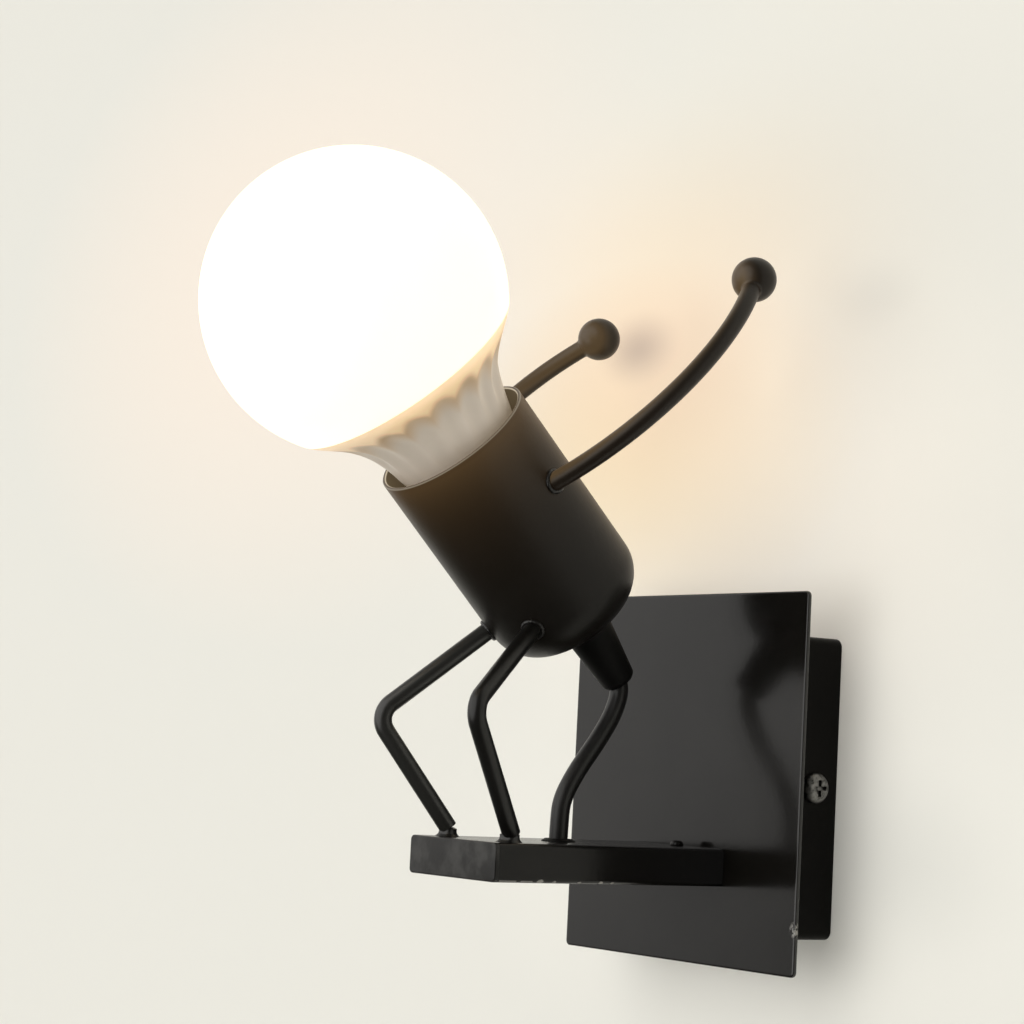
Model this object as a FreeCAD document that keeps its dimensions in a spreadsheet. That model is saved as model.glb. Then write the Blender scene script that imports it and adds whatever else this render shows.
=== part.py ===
import FreeCAD, Part
import math
import os
import re

import Sketcher

# Wall lamp: a small bent-rod figure that stands on a flat bar and holds a screw-in
# globe bulb in its cup-shaped body. Millimetres, Z up, the wall is the plane Y = 0,
# the lamp stands out from it towards -Y, and X runs to the right as seen from the room.
# The origin is the middle of the wall strap's back face.

Vector = FreeCAD.Vector
X_AXIS = Vector(1, 0, 0)
Z_AXIS = Vector(0, 0, 1)

doc = FreeCAD.newDocument("wall_lamp")

# Driving sizes

SIZES = {
    # wall plate and the box behind it
    "plate_side": 100,
    "plate_thick": 1.2,
    "plate_lift": 1.2,
    "plate_corner": 1.5,
    "box_side": 80,
    "box_depth": 20,
    "box_wall": 1,
    "box_corner": 2.5,
    # strap that is screwed to the wall, with an ear at each end
    "strap_thick": 1.5,
    "strap_width": 20,
    "strap_play": 0.4,
    "ear_reach": 14,
    "wall_hole_spacing": 48,
    "wall_hole_radius": 2.25,
    "wall_slot_run": 6,
    "supply_hole_radius": 6,
    # screws
    "thread_gap": 0.04,
    "hole_play": 0.2,
    "side_screw_radius": 1.95,
    "side_screw_depth": 8,
    "side_screw_length": 8,
    "side_head_radius": 4,
    "side_head_height": 2.4,
    "small_screw_radius": 1.45,
    "small_head_radius": 2.6,
    "small_head_height": 1.8,
    "lock_screw_radius": 1.2,
    "lock_head_radius": 1.8,
    "lock_head_height": 1.4,
    "lock_screw_side": 6,
    "lock_screw_setback": 5.2,
    "recess_depth": 0.9,
    # flat bar and the tongue that carries it
    "bar_width": 40,
    "bar_height": 10,
    "bar_length": 74,
    "bar_wall": 1.2,
    "bar_edge": 1.2,
    "bar_drop": 22.5,
    "tongue_reach": 20,
    "tongue_play": 0.1,
    "tongue_sheet": 1.2,
    "flange_width": 50,
    "flange_height": 20,
    # lamp cable, its grommet and the cores inside
    "cable_radius": 2.5,
    "cable_play": 0.15,
    "core_radius": 0.8,
    "core_side": 1.1,
    "core_drop": 4.1,
    "grommet_reach": 40.4,
    "grommet_neck": 3.6,
    "grommet_lip": 4.5,
    "grommet_lip_thick": 0.8,
    # terminal block
    "block_pitch": 9,
    "block_width": 28,
    "block_depth": 13,
    "block_height": 17,
    "clamp_radius": 2.4,
    "clamp_bore": 1.5,
    "clamp_inset": 1,
    "clamp_screw_inset": 4.5,
    "wire_grip": 4,
    "earth_side": 26,
    "earth_rise": 7,
    "earth_loop_drop": 9,
    "tag_radius": 4.2,
    "tag_thick": 0.8,
    "tag_barrel_radius": 1.5,
    "tag_barrel_length": 5,
    # cup that is the figure's body, leaning out from the wall
    "cup_forward": 57,
    "cup_rise": 40.8,
    "cup_lean": 45,
    "cup_radius": 21.5,
    "cup_length": 64,
    "cup_wall": 1,
    "cup_round": 12,
    # rods: legs and arms
    "leg_radius": 2.4,
    "hip_turn": 28.2,
    "hip_station": 14.1,
    "knee_side": 22.9,
    "knee_forward": 106.3,
    "right_knee_rise": 16.3,
    "left_knee_rise": 13.4,
    "knee_bend": 5.5,
    "foot_inset": 5.4,
    "foot_setback": 8.3,
    "foot_gap": 2.1,
    "arm_radius": 2.5,
    "shoulder_turn": 16,
    "shoulder_station": 42.8,
    "hand_side": 34.3,
    "hand_forward": 31.2,
    "right_hand_rise": 133.6,
    "left_hand_rise": 124.3,
    "right_arm_bow": 15.5,
    "left_arm_bow": 21,
    "hand_radius": 6,
    "hand_grip": 4,
    "weld_radius": 3.2,
    "weld_gap": 0.03,
    "foot_weld_base": 3,
    "foot_weld_top": 2.1,
    # cord grip and threaded tube through the cup's bottom
    "grip_lean": 40.5,
    "grip_corner": 4,
    "grip_length": 16,
    "grip_base_radius": 6.8,
    "grip_end_radius": 4.7,
    "grip_chamfer": 0.9,
    "grip_bore_play": 0.45,
    "grip_flare": 0.5,
    "grip_flare_length": 4,
    "tube_radius": 4.9,
    "tube_bore_play": 0.6,
    "tube_proud": 0.5,
    "nut_flats": 14,
    "nut_thick": 3,
    # lamp holder
    "holder_radius": 17,
    "holder_base_thick": 5,
    "holder_chamber_radius": 14.5,
    "bridge_thick": 5,
    "holder_rim_depth": 15.5,
    "thread_pitch": 3.629,
    "thread_mean_radius": 12.55,
    "thread_swing": 0.55,
    "thread_play": 0.25,
    "shell_sheet": 0.5,
    "shell_floor_sheet": 0.5,
    "shell_floor_bore": 7.5,
    "shell_floor_lip": 0.05,
    "shell_top_depth": 21,
    "terminal_side": 9,
    "contact_radius": 5,
    "contact_rise": 1.35,
    "contact_rivet_radius": 1.55,
    "contact_tail_thick": 0.6,
    "sheath_stub": 1.2,
    # bulb
    "globe_radius": 39.4,
    "globe_rise": 58.5,
    "globe_wall": 1.5,
    "rim_rise": 36.7,
    "cap_top_depth": 14,
    "cap_thread_length": 18.5,
    "cap_collar_radius": 13.3,
    "cap_sheet": 0.4,
    "cap_bottom_depth": 36.5,
    "tip_length": 1.2,
    "tip_seat": 0.4,
    "tip_play": 0.05,
    "tip_radius": 4.5,
    "insulator_length": 3.3,
    "neck_low_radius": 14.2,
    "neck_mouth_radius": 17.7,
    "neck_mouth_rise": 13.5,
    "flare_radius": 29,
    "flare_rise": 33,
    "flare_curve": 28,
    "neck_wall": 1.8,
    "flute_count": 20,
    "flute_depth": 1,
    "flute_bulge": 3,
    "flute_half_width": 4.4,
    "flute_half_length": 9,
    "light_board_play": 1.9,
    "light_board_thick": 1.6,
    "chip_side": 3,
    "chip_thick": 0.7,
    "chip_ring_radius": 20,
    "chip_count": 12,
    "inner_chip_ring_radius": 10,
    "inner_chip_count": 6,
    "driver_width": 22.6,
    "driver_thick": 1.6,
    "driver_length": 38,
    "driver_drop": 18,
}

sheet = doc.addObject("Spreadsheet::Sheet", "sizes")
for row, (name, number) in enumerate(SIZES.items(), start=1):
    sheet.set(f"A{row}", name.replace("_", " "))
    sheet.set(f"B{row}", str(number))
    sheet.setAlias(f"B{row}", name)
doc.recompute()


def linked(expression):
    """An expression with each size's name pointed at its cell in the sheet."""
    return re.sub(
        r"[a-z][a-z_]+",
        lambda word: "sizes." + word.group() if word.group() in SIZES else word.group(),
        str(expression),
    )


def value(expression):
    """The number that an expression in the sheet's names comes to."""
    return float(sheet.evalExpression(linked(expression).replace("sizes.", "")))


def bind(thing, property_name, expression):
    thing.setExpression(property_name, linked(expression))


def stand(thing, place, turn=None):
    """Puts a piece at three expressions, turned about an axis by a fourth."""
    if turn:
        axis, angle = turn
        thing.Placement = FreeCAD.Placement(Vector(), FreeCAD.Rotation(axis, 1))
        bind(thing, "Placement.Rotation.Angle", angle)
    for letter, expression in zip("xyz", place):
        bind(thing, f"Placement.Base.{letter}", expression)


# Places that several pieces share

PLATE_FRONT = "box_depth + plate_thick"
BAR_FRONT = "box_depth + plate_thick + bar_length"
BAR_TOP = "-bar_drop + bar_height / 2"
CUP_PLACE = ("0", "-cup_forward", "cup_rise")
CUP_TURN = (X_AXIS, "cup_lean")
HOLDER_FLOOR = "cup_wall + nut_thick"
CHAMBER_FLOOR = f"{HOLDER_FLOOR} + holder_base_thick"
TUBE_TOP = f"{CHAMBER_FLOOR} + tube_proud"
SHEATH_END = f"{CHAMBER_FLOOR} + sheath_stub"
CAP_BOTTOM = "cup_length - cap_bottom_depth"
CAP_TOP = "cup_length - cap_top_depth"
TIP_END = f"{CAP_BOTTOM} - insulator_length + tip_seat - tip_length"
BRIDGE_TOP = f"{TIP_END} - tip_play - contact_rise"
BRIDGE_LOW = f"{BRIDGE_TOP} - bridge_thick"
NECK_MOUTH = f"({CAP_TOP} + neck_mouth_rise)"
FLARE = f"({CAP_TOP} + flare_rise)"
RIM = f"({CAP_TOP} + rim_rise)"
GLOBE = f"({CAP_TOP} + globe_rise)"
RIM_HEIGHT = "(globe_rise - rim_rise)"
RIM_RADIUS = f"sqrt(globe_radius ^ 2 - {RIM_HEIGHT} ^ 2)"
BOARD_RADIUS = f"({RIM_RADIUS} - neck_wall - light_board_play)"


def cup_frame():
    """The cup's own frame: its bottom's middle, with Z along its axis to the mouth."""
    spot = Vector(0, -value("cup_forward"), value("cup_rise"))
    return FreeCAD.Placement(spot, FreeCAD.Rotation(X_AXIS, value("cup_lean")))


def in_cup(across, back, station):
    return cup_frame().multVec(Vector(across, back, station))


def on_cup(turn_from_side, station):
    """A point on the cup's outer wall, turned from its right side towards its back."""
    turn = math.radians(turn_from_side)
    radius = value("cup_radius")
    return in_cup(radius * math.cos(turn), radius * math.sin(turn), station)


# Sketches and the features made from them


def plane_of(body, role):
    return next(o for o in body.Origin.OriginFeatures if o.Role == role)


def arc_between(start, end, radius, left):
    """A circle's arc from one point to another, its centre to the left or right."""
    chord = end - start
    middle = (start + end) * 0.5
    reach = math.sqrt(max(radius**2 - (chord.Length / 2) ** 2, 0))
    side = Vector(-chord.y, chord.x, 0).normalize() * (reach if left else -reach)
    centre = middle + side
    first = math.atan2(start.y - centre.y, start.x - centre.x)
    last = math.atan2(end.y - centre.y, end.x - centre.x)
    if not left:
        first, last = last, first
    circle = Part.Circle(centre, Z_AXIS, radius)
    return Part.ArcOfCircle(circle, first, last)


def draw(body, role, corners, arcs=None, offset="0"):
    """A closed outline whose corners sit at pairs of expressions. arcs gives, for the
    side that starts at a corner, its radius and which side its centre lies on."""
    arcs = arcs or {}
    sketch = body.newObject("Sketcher::SketchObject", "outline")
    sketch.AttachmentSupport = [(plane_of(body, role), "")]
    sketch.MapMode = "FlatFace"
    bind(sketch, "AttachmentOffset.Base.z", offset)
    points = [Vector(value(a), value(b), 0) for a, b in corners]
    ends = []
    for number, start in enumerate(points):
        end = points[(number + 1) % len(points)]
        if number in arcs:
            radius, left = arcs[number]
            edge = sketch.addGeometry(arc_between(start, end, value(radius), left))
            ends.append((edge, 1, 2) if left else (edge, 2, 1))
        else:
            edge = sketch.addGeometry(Part.LineSegment(start, end))
            ends.append((edge, 1, 2))
    for number, (edge, first, last) in enumerate(ends):
        after = ends[(number + 1) % len(ends)]
        sketch.addConstraint(
            Sketcher.Constraint("Coincident", edge, last, after[0], after[1])
        )
        for way, axis in (("DistanceX", 0), ("DistanceY", 1)):
            spot = points[number][axis]
            rule = sketch.addConstraint(
                Sketcher.Constraint(way, -1, 1, edge, first, spot)
            )
            bind(sketch, f"Constraints[{rule}]", corners[number][axis])
        if number in arcs:
            radius = arcs[number][0]
            rule = sketch.addConstraint(
                Sketcher.Constraint("Radius", edge, value(radius))
            )
            bind(sketch, f"Constraints[{rule}]", radius)
    return sketch


def draw_circles(body, role, circles, offset="0"):
    """Circles at pairs of expressions, each with a radius."""
    sketch = body.newObject("Sketcher::SketchObject", "circles")
    sketch.AttachmentSupport = [(plane_of(body, role), "")]
    sketch.MapMode = "FlatFace"
    bind(sketch, "AttachmentOffset.Base.z", offset)
    for across, up, radius in circles:
        centre = Vector(value(across), value(up), 0)
        edge = sketch.addGeometry(Part.Circle(centre, Z_AXIS, value(radius)))
        rules = (
            (Sketcher.Constraint("DistanceX", -1, 1, edge, 3, centre.x), across),
            (Sketcher.Constraint("DistanceY", -1, 1, edge, 3, centre.y), up),
            (Sketcher.Constraint("Radius", edge, value(radius)), radius),
        )
        for rule, expression in rules:
            number = sketch.addConstraint(rule)
            bind(sketch, f"Constraints[{number}]", expression)
    return sketch


def rounded_rectangle(width, height, radius, rise="0"):
    """Corners and arcs of a rectangle about a point that lies rise above the origin."""
    w, t, r = f"({width}) / 2", f"({height}) / 2", f"({radius})"
    corners = [
        (f"-{w} + {r}", f"-{t} + {rise}"),
        (f"{w} - {r}", f"-{t} + {rise}"),
        (w, f"-{t} + {r} + {rise}"),
        (w, f"{t} - {r} + {rise}"),
        (f"{w} - {r}", f"{t} + {rise}"),
        (f"-{w} + {r}", f"{t} + {rise}"),
        (f"-{w}", f"{t} - {r} + {rise}"),
        (f"-{w}", f"-{t} + {r} + {rise}"),
    ]
    return corners, {side: (radius, True) for side in (1, 3, 5, 7)}


def rectangle(width, height, rise="0"):
    w, t = f"({width}) / 2", f"({height}) / 2"
    return [
        (f"-{w}", f"-{t} + {rise}"),
        (w, f"-{t} + {rise}"),
        (w, f"{t} + {rise}"),
        (f"-{w}", f"{t} + {rise}"),
    ]


def new_body(label):
    body = doc.addObject("PartDesign::Body", label)
    body.Label = label
    return body


def pad(body, sketch, length, midplane=False):
    """Thickens an outline along its plane's normal."""
    feature = body.newObject("PartDesign::Pad", "pad")
    feature.Profile = sketch
    feature.Midplane = midplane
    bind(feature, "Length", length)
    doc.recompute()
    return feature


def pocket(body, sketch, length, midplane=False, against=False):
    """Cuts an outline out, and stops if nothing was taken away."""
    before = body.Shape.Volume
    feature = body.newObject("PartDesign::Pocket", "pocket")
    feature.Profile = sketch
    feature.Midplane = midplane
    feature.Reversed = against
    bind(feature, "Length", length)
    doc.recompute()
    if body.Shape.Volume > before - 1e-3:
        raise RuntimeError(f"a cut in {body.Label} takes nothing away")
    return feature


def turned(label, corners, arcs=None, place=CUP_PLACE, turn=CUP_TURN):
    """A round piece about its own Z axis, from a half section in X and Z."""
    body = new_body(label)
    sketch = draw(body, "XZ_Plane", corners, arcs)
    feature = body.newObject("PartDesign::Revolution", "turning")
    feature.Profile = sketch
    feature.ReferenceAxis = (sketch, ["V_Axis"])
    feature.Angle = 360
    doc.recompute()
    stand(body, place, turn)
    doc.recompute()
    return body


def cylinder(name, radius, height, place, turn=None):
    piece = doc.addObject("Part::Cylinder", name)
    bind(piece, "Radius", radius)
    bind(piece, "Height", height)
    stand(piece, place, turn)
    return piece


def block(name, width, depth, height, place, turn=None):
    """A cuboid whose lowest corner sits at place."""
    piece = doc.addObject("Part::Box", name)
    bind(piece, "Length", width)
    bind(piece, "Width", depth)
    bind(piece, "Height", height)
    stand(piece, place, turn)
    return piece


def fuse(label, pieces):
    joined = doc.addObject("Part::MultiFuse", label)
    joined.Shapes = pieces
    joined.Label = label
    return joined


def cut(label, base, tool):
    """Takes one piece, or several, out of another."""
    if isinstance(tool, list):
        tool = group(label + "_tools", tool)
    made = doc.addObject("Part::Cut", label)
    made.Base = base
    made.Tool = tool
    made.Label = label
    return made


def group(label, pieces):
    made = doc.addObject("Part::Compound", label)
    made.Links = pieces
    made.Label = label
    return made


def feature(label, shape):
    """A piece whose shape is worked out from the sizes in the lines above it."""
    made = doc.addObject("Part::Feature", label)
    made.Shape = shape
    made.Label = label
    return made


# Rods, wires and cables


def bent_path(points, radii):
    """Straight runs joined by arcs, one radius for each inner point."""
    edges, at = [], points[0]
    for before, corner, after, radius in zip(points, points[1:], points[2:], radii):
        one, two = (before - corner).normalize(), (after - corner).normalize()
        half = one.getAngle(two) / 2
        back = radius / math.tan(half)
        first, last = corner + one * back, corner + two * back
        inward = (one + two).normalize()
        middle = corner + inward * (radius / math.sin(half) - radius)
        edges.append(Part.LineSegment(at, first).toShape())
        edges.append(Part.Arc(first, middle, last).toShape())
        at = last
    edges.append(Part.LineSegment(at, points[-1]).toShape())
    return Part.Wire(edges)


def widest_radii(label, points, share=0.45):
    """The largest arc that each corner's two runs allow, printed as they are made."""
    radii = []
    for before, corner, after in zip(points, points[1:], points[2:]):
        one, two = before - corner, after - corner
        half_turn = (math.pi - one.getAngle(two)) / 2
        radii.append(share * min(one.Length, two.Length) / math.tan(half_turn))
    print(label, "bend radii", [round(r, 1) for r in radii])
    return radii


def tube_along(path, radius):
    """A round bar along a path, with its volume held against section times length."""
    start = path.Edges[0]
    direction = start.tangentAt(start.FirstParameter)
    at = start.valueAt(start.FirstParameter)
    ring = Part.Wire(Part.Circle(at, direction, radius).toShape())
    solid = path.makePipeShell([ring], True, False)
    expected = math.pi * radius**2 * path.Length
    if abs(solid.Volume / expected - 1) > 0.01:
        raise RuntimeError("a bar's volume is not its section times its length")
    return solid


def cup_solid(grow=0.0):
    """The cup's outer form, filled, and larger all round by grow."""
    body = Part.makeCylinder(
        value("cup_radius") + grow,
        value("cup_length") + 2 * grow,
        Vector(0, 0, -grow),
    )
    low = min(body.Edges, key=lambda edge: edge.BoundBox.ZMax)
    body = body.makeFillet(value("cup_round"), [low])
    body.Placement = cup_frame()
    return body


# Strap on the wall


def wall_bracket():
    body = new_body("wall_bracket")
    half = "(box_side / 2 - box_wall - strap_play)"
    inner = f"({half} - strap_thick)"
    section = [
        (f"-{half}", "0"),
        (f"-{half}", "-ear_reach"),
        (f"-{inner}", "-ear_reach"),
        (f"-{inner}", "-strap_thick"),
        (inner, "-strap_thick"),
        (inner, "-ear_reach"),
        (half, "-ear_reach"),
        (half, "0"),
    ]
    pad(body, draw(body, "XY_Plane", section), "strap_width", midplane=True)
    holes = [
        ("0", "0", "supply_hole_radius"),
        ("-supply_hole_radius - 6", "0", "side_screw_radius + thread_gap"),
    ]
    for side in ("-", ""):
        slot = [
            (f"{side}wall_hole_spacing / 2 {end} wall_slot_run / 2", rise)
            for end, rise in (
                ("-", "-wall_hole_radius"),
                ("+", "-wall_hole_radius"),
                ("+", "wall_hole_radius"),
                ("-", "wall_hole_radius"),
            )
        ]
        pocket(body, draw(body, "XZ_Plane", slot), "3 * strap_thick", True)
        for end in ("-", "+"):
            middle = f"{side}wall_hole_spacing / 2 {end} wall_slot_run / 2"
            holes.append((middle, "0", "wall_hole_radius"))
    pocket(body, draw_circles(body, "XZ_Plane", holes), "3 * strap_thick", True)
    ear_hole = [("-side_screw_depth", "0", "side_screw_radius + thread_gap")]
    pocket(body, draw_circles(body, "YZ_Plane", ear_hole), "box_side", True)
    return body


def pan_screw(label, sizes, place, turn, recess=True):
    """A screw along its own -Z, its domed head above Z = 0 with a crossed recess."""
    radius, length, head_radius, head_height = sizes
    section = [
        ("0", f"-({length})"),
        (f"0.7 * ({radius})", f"-({length})"),
        (radius, f"-({length}) + 0.3 * ({radius})"),
        (radius, "0"),
        (head_radius, "0"),
        (head_radius, f"0.45 * ({head_height})"),
        (f"0.6 * ({head_radius})", head_height),
        ("0", head_height),
    ]
    dome = {5: (f"0.55 * ({head_radius})", True)}
    body = turned(label, section, dome, place, turn)
    if recess:
        arm, slot = f"0.55 * ({head_radius})", f"0.13 * ({head_radius})"
        cross = [
            (f"-({arm})", f"-({slot})"),
            (f"-({slot})", f"-({slot})"),
            (f"-({slot})", f"-({arm})"),
            (slot, f"-({arm})"),
            (slot, f"-({slot})"),
            (arm, f"-({slot})"),
            (arm, slot),
            (slot, slot),
            (slot, arm),
            (f"-({slot})", arm),
            (f"-({slot})", slot),
            (f"-({arm})", slot),
        ]
        mark = draw(body, "XY_Plane", cross, offset=head_height)
        pocket(body, mark, f"0.5 * ({head_height})")
    return body


def side_screw(label, side):
    sizes = (
        "side_screw_radius",
        "side_screw_length",
        "side_head_radius",
        "side_head_height",
    )
    place = (f"{side} * box_side / 2", "-side_screw_depth", "0")
    return pan_screw(label, sizes, place, (Vector(0, 1, 0), f"{side} * 90"))


def bracket_earth_screw():
    sizes = ("side_screw_radius", "strap_thick", "side_head_radius", "side_head_height")
    place = ("-supply_hole_radius - 6", "-strap_thick", "0")
    return pan_screw("bracket_earth_screw", sizes, place, (X_AXIS, "90"))


# Box and plate


def back_box():
    body = new_body("back_box")
    corners, arcs = rounded_rectangle("box_side", "box_side", "box_corner")
    pad(body, draw(body, "XZ_Plane", corners, arcs), "box_depth")
    hollow, rounds = rounded_rectangle(
        "box_side - 2 * box_wall", "box_side - 2 * box_wall", "box_corner - box_wall"
    )
    inside = draw(body, "XZ_Plane", hollow, rounds)
    pocket(body, inside, "box_depth - box_wall", against=True)
    window = draw(body, "XZ_Plane", tongue_window(), offset="box_depth")
    pocket(body, window, "3 * box_wall", midplane=True)
    side_hole = [("-side_screw_depth", "0", "side_screw_radius + hole_play")]
    pocket(body, draw_circles(body, "YZ_Plane", side_hole), "2 * box_side", True)
    fixings = [
        ("earth_side", "earth_rise", "side_screw_radius + thread_gap"),
        ("-block_pitch / 2", "block_height / 2", "small_screw_radius + thread_gap"),
    ]
    holes = draw_circles(body, "XZ_Plane", fixings, offset="box_depth")
    pocket(body, holes, "3 * box_wall", midplane=True)
    return body


def tongue_window():
    """The opening that the bar's tongue passes through, in the plate and the box."""
    return rectangle(
        "bar_width - 2 * bar_wall",
        "bar_height - 2 * bar_wall",
        "-bar_drop",
    )


def front_plate():
    body = new_body("front_plate")
    corners, arcs = rounded_rectangle(
        "plate_side", "plate_side", "plate_corner", "plate_lift"
    )
    pad(body, draw(body, "XZ_Plane", corners, arcs, "box_depth"), "plate_thick")
    window = draw(body, "XZ_Plane", tongue_window(), offset=PLATE_FRONT)
    pocket(body, window, "3 * plate_thick", midplane=True)
    return body


# Bar


def bar_tongue():
    """A channel, open below, on a flange inside the box."""
    body = new_body("bar_tongue")
    flange = rectangle("flange_width", "flange_height", "-bar_drop")
    pad(
        body,
        draw(body, "XZ_Plane", flange, offset="box_depth - box_wall - tongue_sheet"),
        "tongue_sheet",
    )
    half = "(bar_width / 2 - bar_wall - tongue_play)"
    top = "(-bar_drop + bar_height / 2 - bar_wall - tongue_play)"
    low = "(-bar_drop - bar_height / 2 + bar_wall + tongue_play)"
    channel = [
        (f"-{half}", low),
        (f"-{half} + tongue_sheet", low),
        (f"-{half} + tongue_sheet", f"{top} - tongue_sheet"),
        (f"{half} - tongue_sheet", f"{top} - tongue_sheet"),
        (f"{half} - tongue_sheet", low),
        (half, low),
        (half, top),
        (f"-{half}", top),
    ]
    pad(
        body,
        draw(body, "XZ_Plane", channel, offset="box_depth - box_wall - tongue_sheet"),
        "tongue_sheet + box_wall + plate_thick + tongue_reach",
    )
    wire_way = [
        (f"-{half} + tongue_sheet", low),
        (f"{half} - tongue_sheet", low),
        (f"{half} - tongue_sheet", f"{top} - tongue_sheet"),
        (f"-{half} + tongue_sheet", f"{top} - tongue_sheet"),
    ]
    opening = draw(body, "XZ_Plane", wire_way, offset="box_depth - box_wall")
    pocket(body, opening, "4 * tongue_sheet", midplane=True)
    lock = [
        (
            "lock_screw_side",
            f"-({PLATE_FRONT}) - lock_screw_setback",
            "lock_screw_radius + thread_gap",
        )
    ]
    pocket(body, draw_circles(body, "XY_Plane", lock, top), "3 * tongue_sheet", True)
    return body


def bar_outline(inset="0"):
    return rounded_rectangle(
        f"bar_width - 2 * ({inset})",
        f"bar_height - 2 * ({inset})",
        "bar_edge" if inset == "0" else "bar_edge / 6",
        "-bar_drop",
    )


def support_bar():
    """A flat rectangular tube, open at the back and closed by its end cap in front."""
    body = new_body("support_bar")
    corners, arcs = bar_outline()
    tube = draw(body, "XZ_Plane", corners, arcs, PLATE_FRONT)
    pad(body, tube, "bar_length - bar_wall")
    hollow, rounds = bar_outline("bar_wall")
    inside = draw(body, "XZ_Plane", hollow, rounds, PLATE_FRONT)
    pocket(body, inside, "3 * bar_length", midplane=True)
    holes = [
        (
            "lock_screw_side",
            f"-({PLATE_FRONT}) - lock_screw_setback",
            "lock_screw_radius + hole_play",
        ),
        ("0", f"-({PLATE_FRONT}) - grommet_reach", "grommet_neck + thread_gap"),
    ]
    top = draw_circles(body, "XY_Plane", holes, BAR_TOP)
    pocket(body, top, "3 * bar_wall", midplane=True)
    return body


def bar_end_cap():
    body = new_body("bar_end_cap")
    corners, arcs = bar_outline()
    end = draw(body, "XZ_Plane", corners, arcs, f"{BAR_FRONT} - bar_wall")
    pad(body, end, "bar_wall")
    return body


def bar_lock_screw():
    sizes = (
        "lock_screw_radius",
        "bar_wall + tongue_sheet + 1",
        "lock_head_radius",
        "lock_head_height",
    )
    place = (
        "lock_screw_side",
        f"-({PLATE_FRONT}) - lock_screw_setback",
        BAR_TOP,
    )
    return pan_screw("bar_lock_screw", sizes, place, (X_AXIS, "0"))


def bar_grommet():
    """A ring with a lip above and below the bar's top wall, round the cable."""
    bore = "cable_radius + cable_play"
    section = [
        (bore, "-bar_wall - grommet_lip_thick"),
        ("grommet_lip", "-bar_wall - grommet_lip_thick"),
        ("grommet_lip", "-bar_wall"),
        ("grommet_neck", "-bar_wall"),
        ("grommet_neck", "0"),
        ("grommet_lip", "0"),
        ("grommet_lip", "0.3 * grommet_lip_thick"),
        ("grommet_neck", "grommet_lip_thick"),
        (bore, "grommet_lip_thick"),
    ]
    place = ("0", f"-({PLATE_FRONT}) - grommet_reach", BAR_TOP)
    return turned("bar_grommet", section, None, place, (X_AXIS, "0"))


# Cable and wires


def cable_route():
    """The sheathed cable: down the cup's axis, out of the cord grip, in a loose S to
    the grommet. The points between are chosen by hand from how the cable hangs."""
    corner = in_cup(0, 0, -value("grip_corner"))
    lean = math.radians(value("grip_lean"))
    down = Vector(0, math.sin(lean), -math.cos(lean))
    hole = -(value(PLATE_FRONT) + value("grommet_reach"))
    inside = value(BAR_TOP) - value("bar_wall") - 0.3
    return [
        in_cup(0, 0, value(SHEATH_END)),
        corner,
        corner + down * (value("grip_length") + 0.8),
        Vector(0, -45.1, 17.8),
        Vector(0, -50.2, 9.6),
        Vector(0, -56.5, 1.6),
        Vector(0, -61, -6),
        Vector(0, hole, -12),
        Vector(0, hole, inside),
    ]


def lamp_cable():
    points = cable_route()
    path = bent_path(points, widest_radii("lamp_cable", points))
    return feature("lamp_cable", tube_along(path, value("cable_radius")))


def core(label, side, end_side):
    """One core, from the sheath's end in the bar, back through it and up to the block."""
    start = cable_route()[-1]
    offset = side * value("core_side")
    low = start.z - value("core_drop")
    rise = -value("box_depth") + value("box_wall") + value("block_depth") / 2
    end = end_side * value("block_pitch")
    points = [
        Vector(offset, start.y, start.z),
        Vector(offset, start.y, low),
        Vector(offset, rise, low),
        Vector(end, rise, -9),
        Vector(end, rise, value("wire_grip")),
    ]
    path = bent_path(points, widest_radii(label, points))
    return feature(label, tube_along(path, value("core_radius")))


def earth_wire():
    """From the block's earth clamp round to the tag under the box's earth screw."""
    rise = -value("box_depth") + value("box_wall") + value("block_depth") / 2
    pole, side = value("block_pitch"), value("earth_side")
    low = -value("earth_loop_drop")
    barrel_back = tag_barrel_depth()
    barrel_low = tag_barrel_low()
    points = [
        Vector(pole, rise, value("wire_grip")),
        Vector(pole, rise, low),
        Vector(side, barrel_back, low),
        Vector(side, barrel_back, barrel_low),
    ]
    path = bent_path(points, widest_radii("earth_wire", points))
    return feature("earth_wire", tube_along(path, value("core_radius")))


def tag_barrel_depth():
    return -value("box_depth - box_wall - tag_barrel_radius - 0.1")


def tag_barrel_low():
    return value("earth_rise - tag_radius - tag_barrel_length + 0.5")


def earth_tag():
    """A crimped ring tag, flat on the box's inner face, its barrel pointing down."""
    face = "-box_depth + box_wall"
    turn = (X_AXIS, "-90")
    ring = cylinder(
        "tag_ring",
        "tag_radius",
        "tag_thick",
        ("earth_side", face, "earth_rise"),
        turn,
    )
    barrel = cylinder(
        "tag_barrel",
        "tag_barrel_radius",
        "tag_barrel_length",
        (
            "earth_side",
            f"{face} + tag_barrel_radius + 0.1",
            "earth_rise - tag_radius - tag_barrel_length + 0.5",
        ),
    )
    bore = cylinder(
        "tag_bore",
        "side_screw_radius + hole_play",
        "8 * tag_thick",
        ("earth_side", f"{face} - 2 * tag_thick", "earth_rise"),
        turn,
    )
    return cut("earth_tag", fuse("tag_blank", [ring, barrel]), bore)


def box_earth_screw():
    sizes = (
        "side_screw_radius",
        "tag_thick + box_wall",
        "side_head_radius - 0.5",
        "side_head_height",
    )
    place = ("earth_side", "-box_depth + box_wall + tag_thick", "earth_rise")
    return pan_screw("box_earth_screw", sizes, place, (X_AXIS, "-90"))


# Terminal block


def pole_sides():
    return ("-block_pitch", "0", "block_pitch")


def clamp_screw_rises():
    return ("clamp_screw_inset", "block_height - clamp_screw_inset")


def block_axis():
    return "-box_depth + box_wall + block_depth / 2"


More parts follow.
